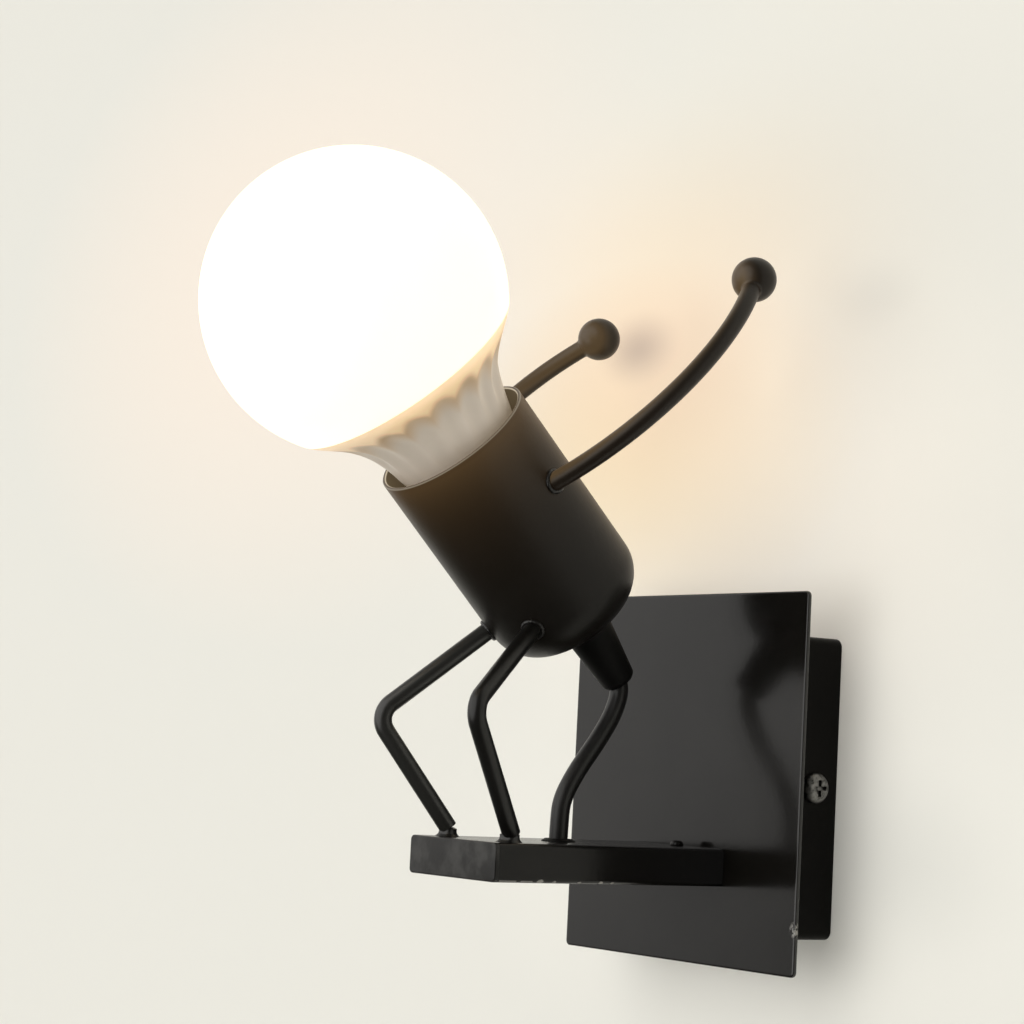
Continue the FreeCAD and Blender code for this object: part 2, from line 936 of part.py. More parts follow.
def terminal_block():
    """An insulating block with three bores, screw wells and a fixing hole."""
    blank = block(
        "block_blank",
        "block_width",
        "block_depth",
        "block_height",
        ("-block_width / 2", "-box_depth + box_wall", "0"),
    )
    tools = []
    for pole in pole_sides():
        tools.append(
            cylinder(
                "pole_bore",
                "clamp_radius + thread_gap",
                "3 * block_height",
                (pole, block_axis(), "-block_height"),
            )
        )
        for rise in clamp_screw_rises():
            tools.append(
                cylinder(
                    "screw_well",
                    "clamp_radius - 0.2",
                    "block_depth",
                    (pole, block_axis(), rise),
                    (X_AXIS, "-90"),
                )
            )
    tools.append(
        cylinder(
            "fixing_hole",
            "small_screw_radius + hole_play",
            "3 * block_depth",
            ("-block_pitch / 2", "-2 * box_depth", "block_height / 2"),
            (X_AXIS, "-90"),
        )
    )
    return cut("terminal_block", blank, tools)


def terminal_clamps():
    """Three brass tubes, each tapped twice for its clamp screws."""
    tubes = []
    for pole in pole_sides():
        tube = cylinder(
            "clamp_tube",
            "clamp_radius",
            "block_height - 2 * clamp_inset",
            (pole, block_axis(), "clamp_inset"),
        )
        tools = [
            cylinder(
                "clamp_hole",
                "clamp_bore",
                "3 * block_height",
                (pole, block_axis(), "-block_height"),
            )
        ]
        for rise in clamp_screw_rises():
            tools.append(
                cylinder(
                    "clamp_thread",
                    "small_screw_radius + thread_gap",
                    "block_depth",
                    (pole, block_axis(), rise),
                    (X_AXIS, "-90"),
                )
            )
        tubes.append(cut("clamp", tube, tools))
    return group("terminal_clamps", tubes)


def terminal_screws():
    """Six slotted clamp screws, the lower three pressing on the lamp's own wires."""
    screws = []
    for pole in pole_sides():
        for rise in clamp_screw_rises():
            shank = cylinder(
                "clamp_screw",
                "small_screw_radius",
                "block_depth / 2 - core_radius - 2",
                (pole, f"{block_axis()} + core_radius + 0.05", rise),
                (X_AXIS, "-90"),
            )
            slot = block(
                "screw_slot",
                "4 * small_screw_radius",
                "1",
                "0.5",
                (
                    f"{pole} - 2 * small_screw_radius",
                    f"{block_axis()} + block_depth / 2 - 2.6",
                    f"{rise} - 0.25",
                ),
            )
            screws.append(cut("slotted_screw", shank, slot))
    return group("terminal_screws", screws)


def terminal_block_screw():
    sizes = (
        "small_screw_radius",
        "block_depth + box_wall",
        "small_head_radius - 0.4",
        "small_head_height",
    )
    place = (
        "-block_pitch / 2",
        "-box_depth + box_wall + block_depth",
        "block_height / 2",
    )
    return pan_screw("terminal_block_screw", sizes, place, (X_AXIS, "-90"))


# Cup and what fastens the holder in it


def lamp_cup():
    """A drawn steel cup with a round bottom edge, a bare mouth and a hole below."""
    bore = "tube_radius + thread_gap"
    section = [
        (bore, "0"),
        ("cup_radius - cup_round", "0"),
        ("cup_radius", "cup_round"),
        ("cup_radius", "cup_length - 0.3"),
        ("cup_radius - 0.3", "cup_length"),
        ("cup_radius - cup_wall + 0.3", "cup_length"),
        ("cup_radius - cup_wall", "cup_length - 0.3"),
        ("cup_radius - cup_wall", "cup_round"),
        ("cup_radius - cup_round", "cup_wall"),
        (bore, "cup_wall"),
    ]
    bends = {
        1: ("cup_round", True),
        7: ("cup_round - cup_wall", False),
    }
    return turned("lamp_cup", section, bends)


def threaded_tube():
    section = [
        ("cable_radius + tube_bore_play", "-grip_corner"),
        ("tube_radius", "-grip_corner"),
        ("tube_radius", TUBE_TOP),
        ("cable_radius + tube_bore_play", TUBE_TOP),
    ]
    return turned("threaded_tube", section)


def lock_nut():
    body = new_body("lock_nut")
    corner = "nut_flats / 2 / cos(30)"
    hexagon = [
        (f"{corner} * cos({60 * side})", f"{corner} * sin({60 * side})")
        for side in range(6)
    ]
    pad(body, draw(body, "XY_Plane", hexagon, offset="cup_wall"), "nut_thick")
    hole = draw_circles(body, "XY_Plane", [("0", "0", "tube_radius + thread_gap")])
    pocket(body, hole, "8 * nut_thick", midplane=True)
    stand(body, CUP_PLACE, CUP_TURN)
    doc.recompute()
    return body


def cord_grip():
    """A tapered grip under the cup, leaning a little more upright than the cup."""
    reach = value("grip_corner") + 3
    length, chamfer = value("grip_length"), value("grip_chamfer")
    base, end = value("grip_base_radius"), value("grip_end_radius")
    slope = (base - end) / (length + value("grip_corner") - chamfer)
    head = Part.makeCone(end, base + 3 * slope, length - chamfer + reach)
    nose = Part.makeCone(end - chamfer, end, chamfer, Vector(0, 0, -chamfer))
    blank = head.fuse(nose).removeSplitter()
    corner = in_cup(0, 0, -value("grip_corner"))
    lean = FreeCAD.Rotation(X_AXIS, value("grip_lean"))
    up = lean.multVec(Z_AXIS)
    blank.Placement = FreeCAD.Placement(corner - up * (length - chamfer), lean)
    bore, flare = value("cable_radius + grip_bore_play"), value("grip_flare")
    way = Part.makeCylinder(
        bore,
        3 * length,
        corner - up * 2 * length,
        up,
    )
    mouth = Part.makeCone(
        bore + flare, bore, value("grip_flare_length"), corner - up * length, up
    )
    seat = Part.makeCylinder(
        value("tube_radius") + value("thread_gap"),
        value("grip_corner") + 5.3,
        Vector(0, 0, -value("grip_corner") - 0.3),
    )
    seat.Placement = cup_frame()
    shape = blank.cut(way).cut(mouth).cut(seat).cut(cup_solid())
    return feature("cord_grip", shape.Solids[0])


# Lamp holder


def threaded_rod(radius, low, high):
    """A round-threaded bar: a circle carried along a slender right-hand helix."""
    pitch, swing = value("thread_pitch"), value("thread_swing")
    turns = (high - low) / pitch
    helix = Part.makeHelix(pitch, high - low, swing)
    phase = 360 * (low / pitch)
    helix.rotate(Vector(), Z_AXIS, phase)
    helix.translate(Vector(0, 0, low))
    start = helix.Edges[0].valueAt(helix.Edges[0].FirstParameter)
    shell = Part.BRepOffsetAPI.MakePipeShell(Part.Wire(helix.Edges))
    shell.setTrihedronMode(start, Z_AXIS)
    shell.add(Part.Wire(Part.Circle(start, Z_AXIS, radius).toShape()))
    shell.build()
    shell.makeSolid()
    solid = shell.shape()
    expected = math.pi * radius**2 * (high - low)
    if abs(solid.Volume / expected - 1) > 0.01:
        raise RuntimeError(f"a thread of {turns:.1f} turns has the wrong volume")
    return solid


def threaded_sleeve(radius, thick, low, high):
    """A thin threaded wall between two threaded bars on the same helix."""
    inside = threaded_rod(radius, low - 0.5, high + 0.5)
    return threaded_rod(radius + thick, low, high).cut(inside)


def holder_body():
    """The holder's moulded body: base, terminal chamber, bridge and screw well."""
    well = "thread_mean_radius + thread_swing + thread_play + shell_sheet + 0.1"
    rim = "cup_length - holder_rim_depth"
    section = [
        ("tube_radius + thread_gap", HOLDER_FLOOR),
        ("holder_radius", HOLDER_FLOOR),
        ("holder_radius", rim),
        (well, rim),
        (well, BRIDGE_TOP),
        ("contact_rivet_radius + thread_gap", BRIDGE_TOP),
        ("contact_rivet_radius + thread_gap", BRIDGE_LOW),
        ("holder_chamber_radius", BRIDGE_LOW),
        ("holder_chamber_radius", CHAMBER_FLOOR),
        ("tube_radius + thread_gap", CHAMBER_FLOOR),
    ]
    body = turned("holder_body", section)
    screws = [
        (f"{side}terminal_side", "0", "small_screw_radius + thread_gap")
        for side in ("-", "")
    ]
    holes = draw_circles(body, "XY_Plane", screws, BRIDGE_LOW)
    pocket(body, holes, "2 * bridge_thick + 0.4", midplane=True)
    return body


def holder_shell():
    """The holder's brass screw shell, with an inward floor on the bridge."""
    low, floor = value(BRIDGE_TOP), value("shell_floor_sheet")
    top = value("cup_length - shell_top_depth")
    inner = value("thread_mean_radius + thread_play")
    sheet_thick, swing = value("shell_sheet"), value("thread_swing")
    wall = threaded_sleeve(inner, sheet_thick, low + floor, top)
    rim = inner + sheet_thick + swing + value("shell_floor_lip")
    disc = Part.makeCylinder(rim, floor, Vector(0, 0, low))
    hole = Part.makeCylinder(value("shell_floor_bore"), 3 * floor, Vector(0, 0, low - floor))
    screw = Part.makeCylinder(
        value("small_screw_radius + thread_gap"),
        3 * floor,
        Vector(value("terminal_side"), 0, low - floor),
    )
    other = screw.copy()
    other.translate(Vector(-2 * value("terminal_side"), 0, 0))
    shape = wall.fuse(disc.cut(hole).cut(screw).cut(other))
    made = feature("holder_shell", shape.Solids[0])
    made.Placement = cup_frame()
    return made


def centre_contact():
    """A riveted contact on the bridge, with a tail below it to one terminal."""
    section = [
        ("0", f"{BRIDGE_LOW} - contact_tail_thick"),
        ("3", f"{BRIDGE_LOW} - contact_tail_thick"),
        ("3", BRIDGE_LOW),
        ("contact_rivet_radius", BRIDGE_LOW),
        ("contact_rivet_radius", BRIDGE_TOP),
        ("contact_radius", BRIDGE_TOP),
        ("contact_radius", f"{BRIDGE_TOP} + 0.4"),
        ("0.6 * contact_radius", f"{BRIDGE_TOP} + contact_rise"),
        ("0", f"{BRIDGE_TOP} + contact_rise"),
    ]
    body = turned("centre_contact", section)
    tail = [
        ("-terminal_side - 3", "-2.5"),
        ("-2", "-2.5"),
        ("-2", "2.5"),
        ("-terminal_side - 3", "2.5"),
    ]
    low = f"{BRIDGE_LOW} - contact_tail_thick"
    pad(body, draw(body, "XY_Plane", tail, offset=low), "contact_tail_thick")
    hole = [("-terminal_side", "0", "small_screw_radius + thread_gap")]
    pocket(
        body,
        draw_circles(body, "XY_Plane", hole, low),
        "4 * contact_tail_thick",
        midplane=True,
    )
    return body


def holder_terminal_screws():
    """Two screws from below: one clamps the contact's tail, one holds the shell."""
    screws = []
    for side, length in (("-", "bridge_thick - 0.5"), ("", "bridge_thick + shell_floor_sheet")):
        low = f"{BRIDGE_LOW} - contact_tail_thick"
        head = cylinder(
            "terminal_head",
            "small_head_radius",
            "small_head_height",
            (f"{side}terminal_side", "0", f"{low} - small_head_height"),
        )
        shank = cylinder(
            "terminal_shank",
            "small_screw_radius",
            f"contact_tail_thick + {length}",
            (f"{side}terminal_side", "0", low),
        )
        pieces = [head, shank]
        if not side:
            washer = cylinder(
                "terminal_washer",
                "small_head_radius + 0.6",
                "contact_tail_thick",
                ("terminal_side", "0", low),
            )
            pieces.append(washer)
        screws.append(fuse("terminal_screw", pieces))
    made = group("holder_terminal_screws", screws)
    stand(made, CUP_PLACE, CUP_TURN)
    return made


def holder_leads():
    """Two short cores in the chamber, from the sheath's end to the terminal screws."""
    start, radius = value(SHEATH_END), value("core_radius")
    head = f"{BRIDGE_LOW} - contact_tail_thick - small_head_height"
    end = value(f"{head} - core_radius - 0.3")
    leads = []
    for side in (-1, 1):
        points = [
            in_cup(side * value("core_side"), 0, start),
            in_cup(side * value("core_side"), 0, end - 0.2),
            in_cup(side * (value("terminal_side") - 0.6), 0, end),
        ]
        path = bent_path(points, widest_radii("holder_leads", points))
        leads.append(tube_along(path, radius))
    return feature("holder_leads", Part.makeCompound(leads))


# Figure: legs, arms, hands and their welds


def leg_points(side):
    """Hip on the cup, knee out in front, foot just above the bar's top."""
    hip = on_cup(-90 + side * value("hip_turn"), value("hip_station"))
    rise = value("right_knee_rise" if side > 0 else "left_knee_rise")
    knee = Vector(side * value("knee_side"), -value("knee_forward"), rise)
    foot = Vector(
        side * value("bar_width / 2 - foot_inset"),
        -value(f"{BAR_FRONT} - foot_setback"),
        value(f"{BAR_TOP} + foot_gap"),
    )
    return hip, knee, foot


def leg_rod(side, grow=0.0):
    hip, knee, foot = leg_points(side)
    inside = hip + (hip - knee).normalize() * 8
    path = bent_path([inside, knee, foot], [value("knee_bend")])
    return tube_along(path, value("leg_radius") + grow)


def leg(label, side):
    shape = leg_rod(side).cut(cup_solid(value("weld_gap")))
    return feature(label, max(shape.Solids, key=lambda solid: solid.Volume))


def arm_points(side):
    """Shoulder on the cup, the middle of the bow, and the middle of the hand."""
    turn = value("shoulder_turn")
    shoulder = on_cup(turn if side > 0 else 180 - turn, value("shoulder_station"))
    rise = value("right_hand_rise" if side > 0 else "left_hand_rise")
    hand = Vector(side * value("hand_side"), -value("hand_forward"), rise)
    along = (hand - shoulder).normalize()
    out = Vector(side, 0, 0)
    sideways = (out - along * out.dot(along)).normalize()
    bow = value("right_arm_bow" if side > 0 else "left_arm_bow")
    middle = (shoulder + hand) * 0.5 + sideways * bow
    return shoulder, middle, hand


def arm_rod(side, grow=0.0, past=0.0):
    """The bowed rod, from inside the cup to a short way inside the hand."""
    shoulder, middle, hand = arm_points(side)
    arc = Part.Arc(shoulder, middle, hand).toShape()
    inward = value("hand_radius - hand_grip") - past
    stop = arc.getParameterByLength(arc.Length - inward)
    curve = arc.Curve.trim(arc.FirstParameter, stop).toShape()
    first = curve.tangentAt(curve.FirstParameter)
    root = Part.LineSegment(shoulder - first * 4, shoulder).toShape()
    return tube_along(Part.Wire([root, curve]), value("arm_radius") + grow)


def arm(label, side):
    shape = arm_rod(side).cut(cup_solid(value("weld_gap")))
    return feature(label, max(shape.Solids, key=lambda solid: solid.Volume))


def hand_ball(label, side):
    """A ball with a blind hole that the arm's end is pressed and welded into."""
    ball = Part.makeSphere(value("hand_radius"), arm_points(side)[2])
    socket = arm_rod(side, value("weld_gap"), 0.1)
    return feature(label, ball.cut(socket).Solids[0])


def weld_ring(centre, rod):
    """A bead round a rod where it meets the cup."""
    bead = Part.makeSphere(value("weld_radius"), centre)
    ring = bead.cut(cup_solid(value("weld_gap"))).cut(rod)
    return max(ring.Solids, key=lambda solid: solid.Volume)


def hip_welds():
    gap = value("weld_gap")
    rings = [weld_ring(leg_points(side)[0], leg_rod(side, gap)) for side in (-1, 1)]
    return feature("hip_welds", Part.makeCompound(rings))


def shoulder_welds():
    gap = value("weld_gap")
    rings = [weld_ring(arm_points(side)[0], arm_rod(side, gap)) for side in (-1, 1)]
    return feature("shoulder_welds", Part.makeCompound(rings))


def foot_welds():
    """A short neck of weld under each rod's square end."""
    necks = []
    for side in (-1, 1):
        foot = leg_points(side)[2]
        base = Vector(foot.x, foot.y, value(BAR_TOP))
        neck = Part.makeCone(
            value("foot_weld_base"),
            value("foot_weld_top"),
            value("foot_gap") + 0.4,
            base,
        )
        shape = neck.cut(leg_rod(side, value("weld_gap")))
        necks.append(max(shape.Solids, key=lambda solid: solid.Volume))
    return feature("foot_welds", Part.makeCompound(necks))


# Bulb


def bulb_screw_cap():
    """The bulb's thin screw cap: a threaded sleeve with a plain collar above it."""
    low = value(CAP_BOTTOM)
    high = low + value("cap_thread_length")
    top = value(CAP_TOP)
    inner = value("thread_mean_radius - thread_swing - cap_sheet")
    thread = threaded_rod(value("thread_mean_radius"), low, high)
    collar = Part.makeCylinder(
        value("cap_collar_radius"), top - high, Vector(0, 0, high)
    )
    bore = Part.makeCylinder(inner, 3 * (top - low), Vector(0, 0, low - 10))
    shape = thread.fuse(collar).cut(bore)
    made = feature("bulb_screw_cap", shape.Solids[0])
    made.Placement = cup_frame()
    return made


def bulb_cap_insulator():
    low = f"{CAP_BOTTOM} - insulator_length"
    section = [
        ("0", f"{low} + tip_seat"),
        ("tip_radius", f"{low} + tip_seat"),
        ("tip_radius + 0.6", low),
        ("thread_mean_radius - thread_swing", CAP_BOTTOM),
        ("0", CAP_BOTTOM),
    ]
    return turned("bulb_cap_insulator", section)


def bulb_tip_contact():
    low = f"{CAP_BOTTOM} - insulator_length + tip_seat"
    section = [
        ("0", TIP_END),
        ("0.45 * tip_radius", TIP_END),
        ("tip_radius - 0.3", f"{low} - 0.4"),
        ("tip_radius - 0.3", low),
        ("0", low),
    ]
    return turned("bulb_tip_contact", section)


def bulb_housing():
    """The bulb's neck: a hollow flare with shallow flutes below its rim."""
    section = [
        ("neck_low_radius", CAP_TOP),
        ("neck_mouth_radius", NECK_MOUTH),
        ("flare_radius", FLARE),
        (RIM_RADIUS, RIM),
        (f"{RIM_RADIUS} - neck_wall", RIM),
        (f"{RIM_RADIUS} - neck_wall", f"{RIM} - light_board_thick"),
        (f"{RIM_RADIUS} - 2.6 * neck_wall", f"{RIM} - light_board_thick"),
        ("flare_radius - 1.7 * neck_wall", f"{FLARE} - 1.5"),
        ("neck_mouth_radius - neck_wall", NECK_MOUTH),
        ("neck_low_radius - neck_wall", CAP_TOP),
    ]
    bends = {1: ("flare_curve", False), 7: ("flare_curve + neck_wall", True)}
    body = turned("bulb_housing_blank", section, bends)
    low = Vector(value("neck_mouth_radius"), 0, value(NECK_MOUTH))
    high = Vector(value("flare_radius"), 0, value(FLARE))
    along = (high - low).normalize()
    out = Vector(along.z, 0, -along.x)
    curve = value("flare_curve")
    sag = curve - math.sqrt(curve**2 - ((high - low).Length / 2) ** 2)
    bulge = value("flute_bulge")
    centre = (low + high) * 0.5 + along * 1.5
    centre = centre + out * (bulge - value("flute_depth") - sag)
    flutes = []
    for number in range(int(value("flute_count"))):
        stretch = FreeCAD.Matrix()
        stretch.scale(bulge, value("flute_half_width"), value("flute_half_length"))
        flute = Part.makeSphere(1).transformGeometry(stretch)
        flute.rotate(Vector(), Vector(0, 1, 0), math.degrees(along.getAngle(Z_AXIS)))
        flute.translate(centre)
        flute.rotate(Vector(), Z_AXIS, 360 / value("flute_count") * number)
        flutes.append(flute)
    tools = feature("flute_tools", Part.makeCompound(flutes))
    tools.Placement = cup_frame()
    return cut("bulb_housing", body, tools)


def bulb_diffuser():
    """The globe: an opal shell, closed over the top and open over the light board."""
    inner = "(globe_radius - globe_wall)"
    section = [
        (RIM_RADIUS, RIM),
        ("0", f"{GLOBE} + globe_radius"),
        ("0", f"{GLOBE} + globe_radius - globe_wall"),
        (f"sqrt({inner} ^ 2 - {RIM_HEIGHT} ^ 2)", RIM),
    ]
    bends = {0: ("globe_radius", True), 2: ("globe_radius - globe_wall", False)}
    return turned("bulb_diffuser", section, bends)


def bulb_light_board():
    section = [
        ("0", f"{RIM} - light_board_thick"),
        (BOARD_RADIUS, f"{RIM} - light_board_thick"),
        (BOARD_RADIUS, RIM),
        ("0", RIM),
    ]
    return turned("bulb_light_board", section)


def bulb_light_chips():
    """Two rings of small square emitters on the board."""
    rings = (
        ("chip_ring_radius", int(value("chip_count"))),
        ("inner_chip_ring_radius", int(value("inner_chip_count"))),
    )
    chips = []
    for radius, count in rings:
        for number in range(count):
            turn = 360 / count * number
            chips.append(
                block(
                    "chip",
                    "chip_side",
                    "chip_side",
                    "chip_thick",
                    (
                        f"{radius} * cos({turn}) - chip_side / 2",
                        f"{radius} * sin({turn}) - chip_side / 2",
                        RIM,
                    ),
                )
            )
    made = group("bulb_light_chips", chips)
    stand(made, CUP_PLACE, CUP_TURN)
    return made


def bulb_driver_board():
    """An upright board in the neck and cap, with its tall parts soldered on."""
    low = f"({CAP_TOP} - driver_drop)"
    board = block(
        "board",
        "driver_width",
        "driver_thick",
        "driver_length",
        ("-driver_width / 2", "-driver_thick / 2", low),
    )
    capacitor = cylinder(
        "capacitor", "4", "11", ("0", "driver_thick / 2 + 3.7", f"{low} + 4")
    )
    coil = cylinder("coil", "3.5", "8", ("3", "driver_thick / 2 + 3.2", f"{low} + 22"))
    bridge = block("rectifier", "6", "3", "6", ("-7", "driver_thick / 2", f"{low} + 21"))
    resistor = block("resistor", "8", "2.5", "3", ("-4", "-driver_thick / 2 - 2.5", f"{low} + 12"))
    made = fuse("bulb_driver_board", [board, capacitor, coil, bridge, resistor])
    stand(made, CUP_PLACE, CUP_TURN)
    return made


PIECES = [
    wall_bracket(),
    bracket_earth_screw(),
    side_screw("side_screw_right", 1),
    side_screw("side_screw_left", -1),
    back_box(),
    front_plate(),
    bar_tongue(),
    support_bar(),
    bar_end_cap(),
    bar_lock_screw(),
    bar_grommet(),
    lamp_cable(),
    core("live_wire", 1, 0),
    core("neutral_wire", -1, -1),
    earth_wire(),
    earth_tag(),
    box_earth_screw(),
    terminal_block(),
    terminal_clamps(),
    terminal_screws(),
    terminal_block_screw(),
    lamp_cup(),
    threaded_tube(),
    lock_nut(),
    cord_grip(),
    holder_body(),
    holder_shell(),
    centre_contact(),
    holder_terminal_screws(),
    holder_leads(),
    leg("right_leg", 1),
    leg("left_leg", -1),
    arm("right_arm", 1),
    arm("left_arm", -1),
    hand_ball("right_hand_ball", 1),
    hand_ball("left_hand_ball", -1),
    hip_welds(),
    shoulder_welds(),
    foot_welds(),
    bulb_screw_cap(),
    bulb_cap_insulator(),
    bulb_tip_contact(),
    bulb_housing(),
    bulb_diffuser(),
    bulb_light_board(),
    bulb_light_chips(),
    bulb_driver_board(),
]

doc.recompute()

for thing in doc.Objects:
    if "Invalid" in thing.State or "Error" in thing.State:
        raise RuntimeError(f"{thing.Label} did not build: {thing.State}")

for piece in PIECES:
    shape = piece.Shape
    if shape.isNull() or not shape.isValid() or not shape.Solids:
        raise RuntimeError(f"{piece.Label} has no sound solid")

os.makedirs("parts", exist_ok=True)
for piece in PIECES:
    piece.Shape.exportStep(f"parts/{piece.Label}.step")
    print(f"{piece.Label}: {len(piece.Shape.Solids)} solids, {piece.Shape.Volume:.1f} mm3")
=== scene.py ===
import math
import random
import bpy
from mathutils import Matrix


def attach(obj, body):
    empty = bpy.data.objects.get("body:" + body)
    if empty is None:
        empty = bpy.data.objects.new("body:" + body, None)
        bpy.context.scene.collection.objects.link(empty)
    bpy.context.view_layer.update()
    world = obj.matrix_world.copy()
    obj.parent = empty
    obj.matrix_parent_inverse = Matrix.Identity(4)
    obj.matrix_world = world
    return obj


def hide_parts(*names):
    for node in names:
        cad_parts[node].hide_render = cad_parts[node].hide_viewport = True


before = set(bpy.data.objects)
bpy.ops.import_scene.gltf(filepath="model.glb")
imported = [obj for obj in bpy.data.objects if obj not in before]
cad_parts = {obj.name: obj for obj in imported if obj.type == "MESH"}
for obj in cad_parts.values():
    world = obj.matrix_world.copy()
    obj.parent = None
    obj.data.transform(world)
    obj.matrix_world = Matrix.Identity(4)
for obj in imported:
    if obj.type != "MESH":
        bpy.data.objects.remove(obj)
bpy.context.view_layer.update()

from types import SimpleNamespace

import bmesh
import bpy
import numpy as np
from bpy.props import FloatProperty, FloatVectorProperty, IntProperty, PointerProperty
from mathutils import Matrix, Vector

bl_info = {
    "name": "Figure wall lamp",
    "version": (1, 0, 0),
    "blender": (4, 5, 0),
    "location": "View3D > Sidebar > Wall lamp",
    "description": "Builds the wall lamp's pieces and finishes around its frame",
    "category": "Add Mesh",
}

MM = 0.001
TAU = 2 * math.pi
BLACK = (0, 0, 0)

# The cup's foot. Above it on the cup's axis: the globe's rim and middle, and the corner
# where the cord grip turns down. Millimetres, and the grip's lean in degrees
CUP_FOOT = (0, -57, 40.8)
GLOBE_RIM, GLOBE_MIDDLE = 86.7, 108.5
GRIP_CORNER, GRIP_LEAN = -4, 40.5

# Limbs, with 1 for the right and -1 for the left: degrees round the cup, and millimetres
HIP_TURN, HIP_HEIGHT = 28.2, 14.1
SHOULDER_TURN, SHOULDER_HEIGHT = {1: 16, -1: 164}, 42.8
KNEE_OUT, KNEE_FRONT, KNEE_HEIGHT = 22.9, -106.3, {1: 16.3, -1: 13.4}
FOOT_OUT, FOOT_BACK, FOOT_LIFT = 14.6, 8.3, 2.1
HAND_OUT, HAND_FRONT, HAND_HEIGHT = 34.3, -31.2, {1: 133.6, -1: 124.3}
ARM_BOW = {1: 15.5, -1: 21}

# The first flute's turn, and how low and how deep the arches at the flutes' tops are
FLUTE_TURN = math.radians(13)
ARCH_LOW, ARCH_RISE = 79.8, 2.6

# Where the earth wire's second colour starts, and the chips on the bar: place and size
EARTH_PLANE = (0.277, 0.961, -9.52)
BAR_CHIPS = ((-80.7, 0.9), (-76.3, 0.5), (-68.4, 0.45), (-61.5, 0.55), (-57.9, 0.5))

# Painted light and shade on the wall, as soft patches: middle (X, Z) and reach in
# millimetres, falloff, and then the share of the paint's colour that is left where the
# bulb's warm light is painted, or the light that is added. A shadow's third number is its
# depth instead.
# PATCH_WIDTH under 1 makes all of them wider along X
WARM_LIGHT_PATCHES = (
    ((-43.2, 143.8), 84.4, 1.6, (1, 1, 0.85)),
    ((-58.8, 96.4), 58.8, 0.6, (0.96, 0.79, 0.55)),
)
GLOW_PATCHES = (
    ((-43.2, 143.8), 84.4, 1.6, (0.106, 0, 0)),
    ((-275.8, 171.6), 134.6, 0.6, (0.130, 0.042, 0)),
    ((-5.5, 85.0), 117.8, 1.9, (0.289, 0.239, 0.190)),
    ((11.0, -7.7), 89.4, 0.6, (0.105, 0.100, 0.089)),
)
SOFT_SHADOWS = (((-57, 127.5), 14, 0.5), ((47, 132), 14, 0.08), ((64, -20), 34, 0.14))
SHADOW_FALLOFF, SHADOW_SHADE = 1.2, (0.05, 0.085, 0.09)
PATCH_WIDTH = 0.565


# Sizes and colours


def length(name, text, default):
    """A length, with its default given in millimetres"""
    return FloatProperty(
        name=name, description=text, default=default * MM, min=0, unit="LENGTH", precision=4
    )


def degrees(name, text, default):
    """An angle, with its default given in degrees"""
    return FloatProperty(
        name=name, description=text, default=math.radians(default), subtype="ANGLE"
    )


def colour(name, text, default):
    return FloatVectorProperty(
        name=name, description=text, default=default, subtype="COLOR", min=0, max=1
    )


class LampSizes(bpy.types.PropertyGroup):
    """Sizes of the lamp's visible pieces"""

    plate_side: length("Plate side", "Side of the square wall plate", 100)
    plate_lift: length("Plate lift", "How far the plate's middle is above the box's", 1.2)
    plate_thick: length("Plate thickness", "Sheet of the wall plate", 1.2)
    box_side: length("Box side", "Side of the square box", 80)
    box_depth: length("Box depth", "From the wall to the plate", 20)
    bar_width: length("Bar width", "Width of the flat bar", 40)
    bar_height: length("Bar height", "Height of the flat bar", 10)
    bar_length: length("Bar length", "From the plate to the bar's front end", 74)
    bar_drop: length("Bar drop", "How far the bar's middle is below the box's", 22.5)
    cup_radius: length("Cup radius", "Outer radius of the figure's body", 21.5)
    cup_length: length("Cup length", "From the round bottom to the mouth", 64)
    cup_round: length("Cup bottom rounding", "Radius of the cup's bottom edge", 12)
    leg_radius: length("Leg radius", "Radius of the bent leg rods", 2.4)
    knee_bend: length("Knee bend", "Bend radius at the knee", 5.5)
    arm_radius: length("Arm radius", "Radius of the bowed arm rods", 2.5)
    hand_radius: length("Hand radius", "Radius of the hand balls", 6)
    cable_radius: length("Cable radius", "Radius of the sheathed cable", 2.5)
    globe_radius: length("Globe radius", "Outer radius of the bulb's globe", 39.4)
    flute_count: IntProperty(
        name="Flutes", description="Flutes round the bulb's neck", default=20, min=3
    )


class LampColours(bpy.types.PropertyGroup):
    """Colours of the lamp's finishes and of the room"""

    coat: colour("Coat", "Black powder coat", (0.0042, 0.0038, 0.0032))
    bare: colour("Bare metal", "Steel where the coat is chipped", (0.30, 0.29, 0.27))
    cable: colour("Cable", "Sheath of the lamp cable", (0.0045, 0.0042, 0.0038))
    glow: colour("Glow", "Light of the globe", (1.0, 0.80, 0.54))
    neck: colour("Neck", "Moulded neck of the bulb", (0.785, 0.715, 0.66))
    wall: colour("Wall", "Paint of the wall", (0.70, 0.695, 0.65))


class StudioSettings(bpy.types.PropertyGroup):
    """Where the camera stands and looks"""

    azimuth: degrees("Azimuth", "Camera's angle round the lamp", 55.587)
    pitch: degrees("Pitch", "Camera's angle upwards", 5.093)
    roll: degrees("Roll", "Camera's turn about its own axis", 2.931)
    lens: FloatProperty(
        name="Lens", description="Focal length", default=94.89, unit="CAMERA"
    )
    place: FloatVectorProperty(
        name="Camera place",
        description="Where the camera stands",
        default=(0.58456, -0.48226, 0.00523),
        subtype="TRANSLATION",
    )


def lamp_sizes():
    """The lamp's sizes in millimetres, and its counts"""
    group = bpy.context.scene.lamp_sizes
    found = {name: getattr(group, name) for name in LampSizes.__annotations__}
    for name, value in found.items():
        if isinstance(value, float):
            found[name] = round(value / MM, 6)
    return SimpleNamespace(**found)


# Nodes


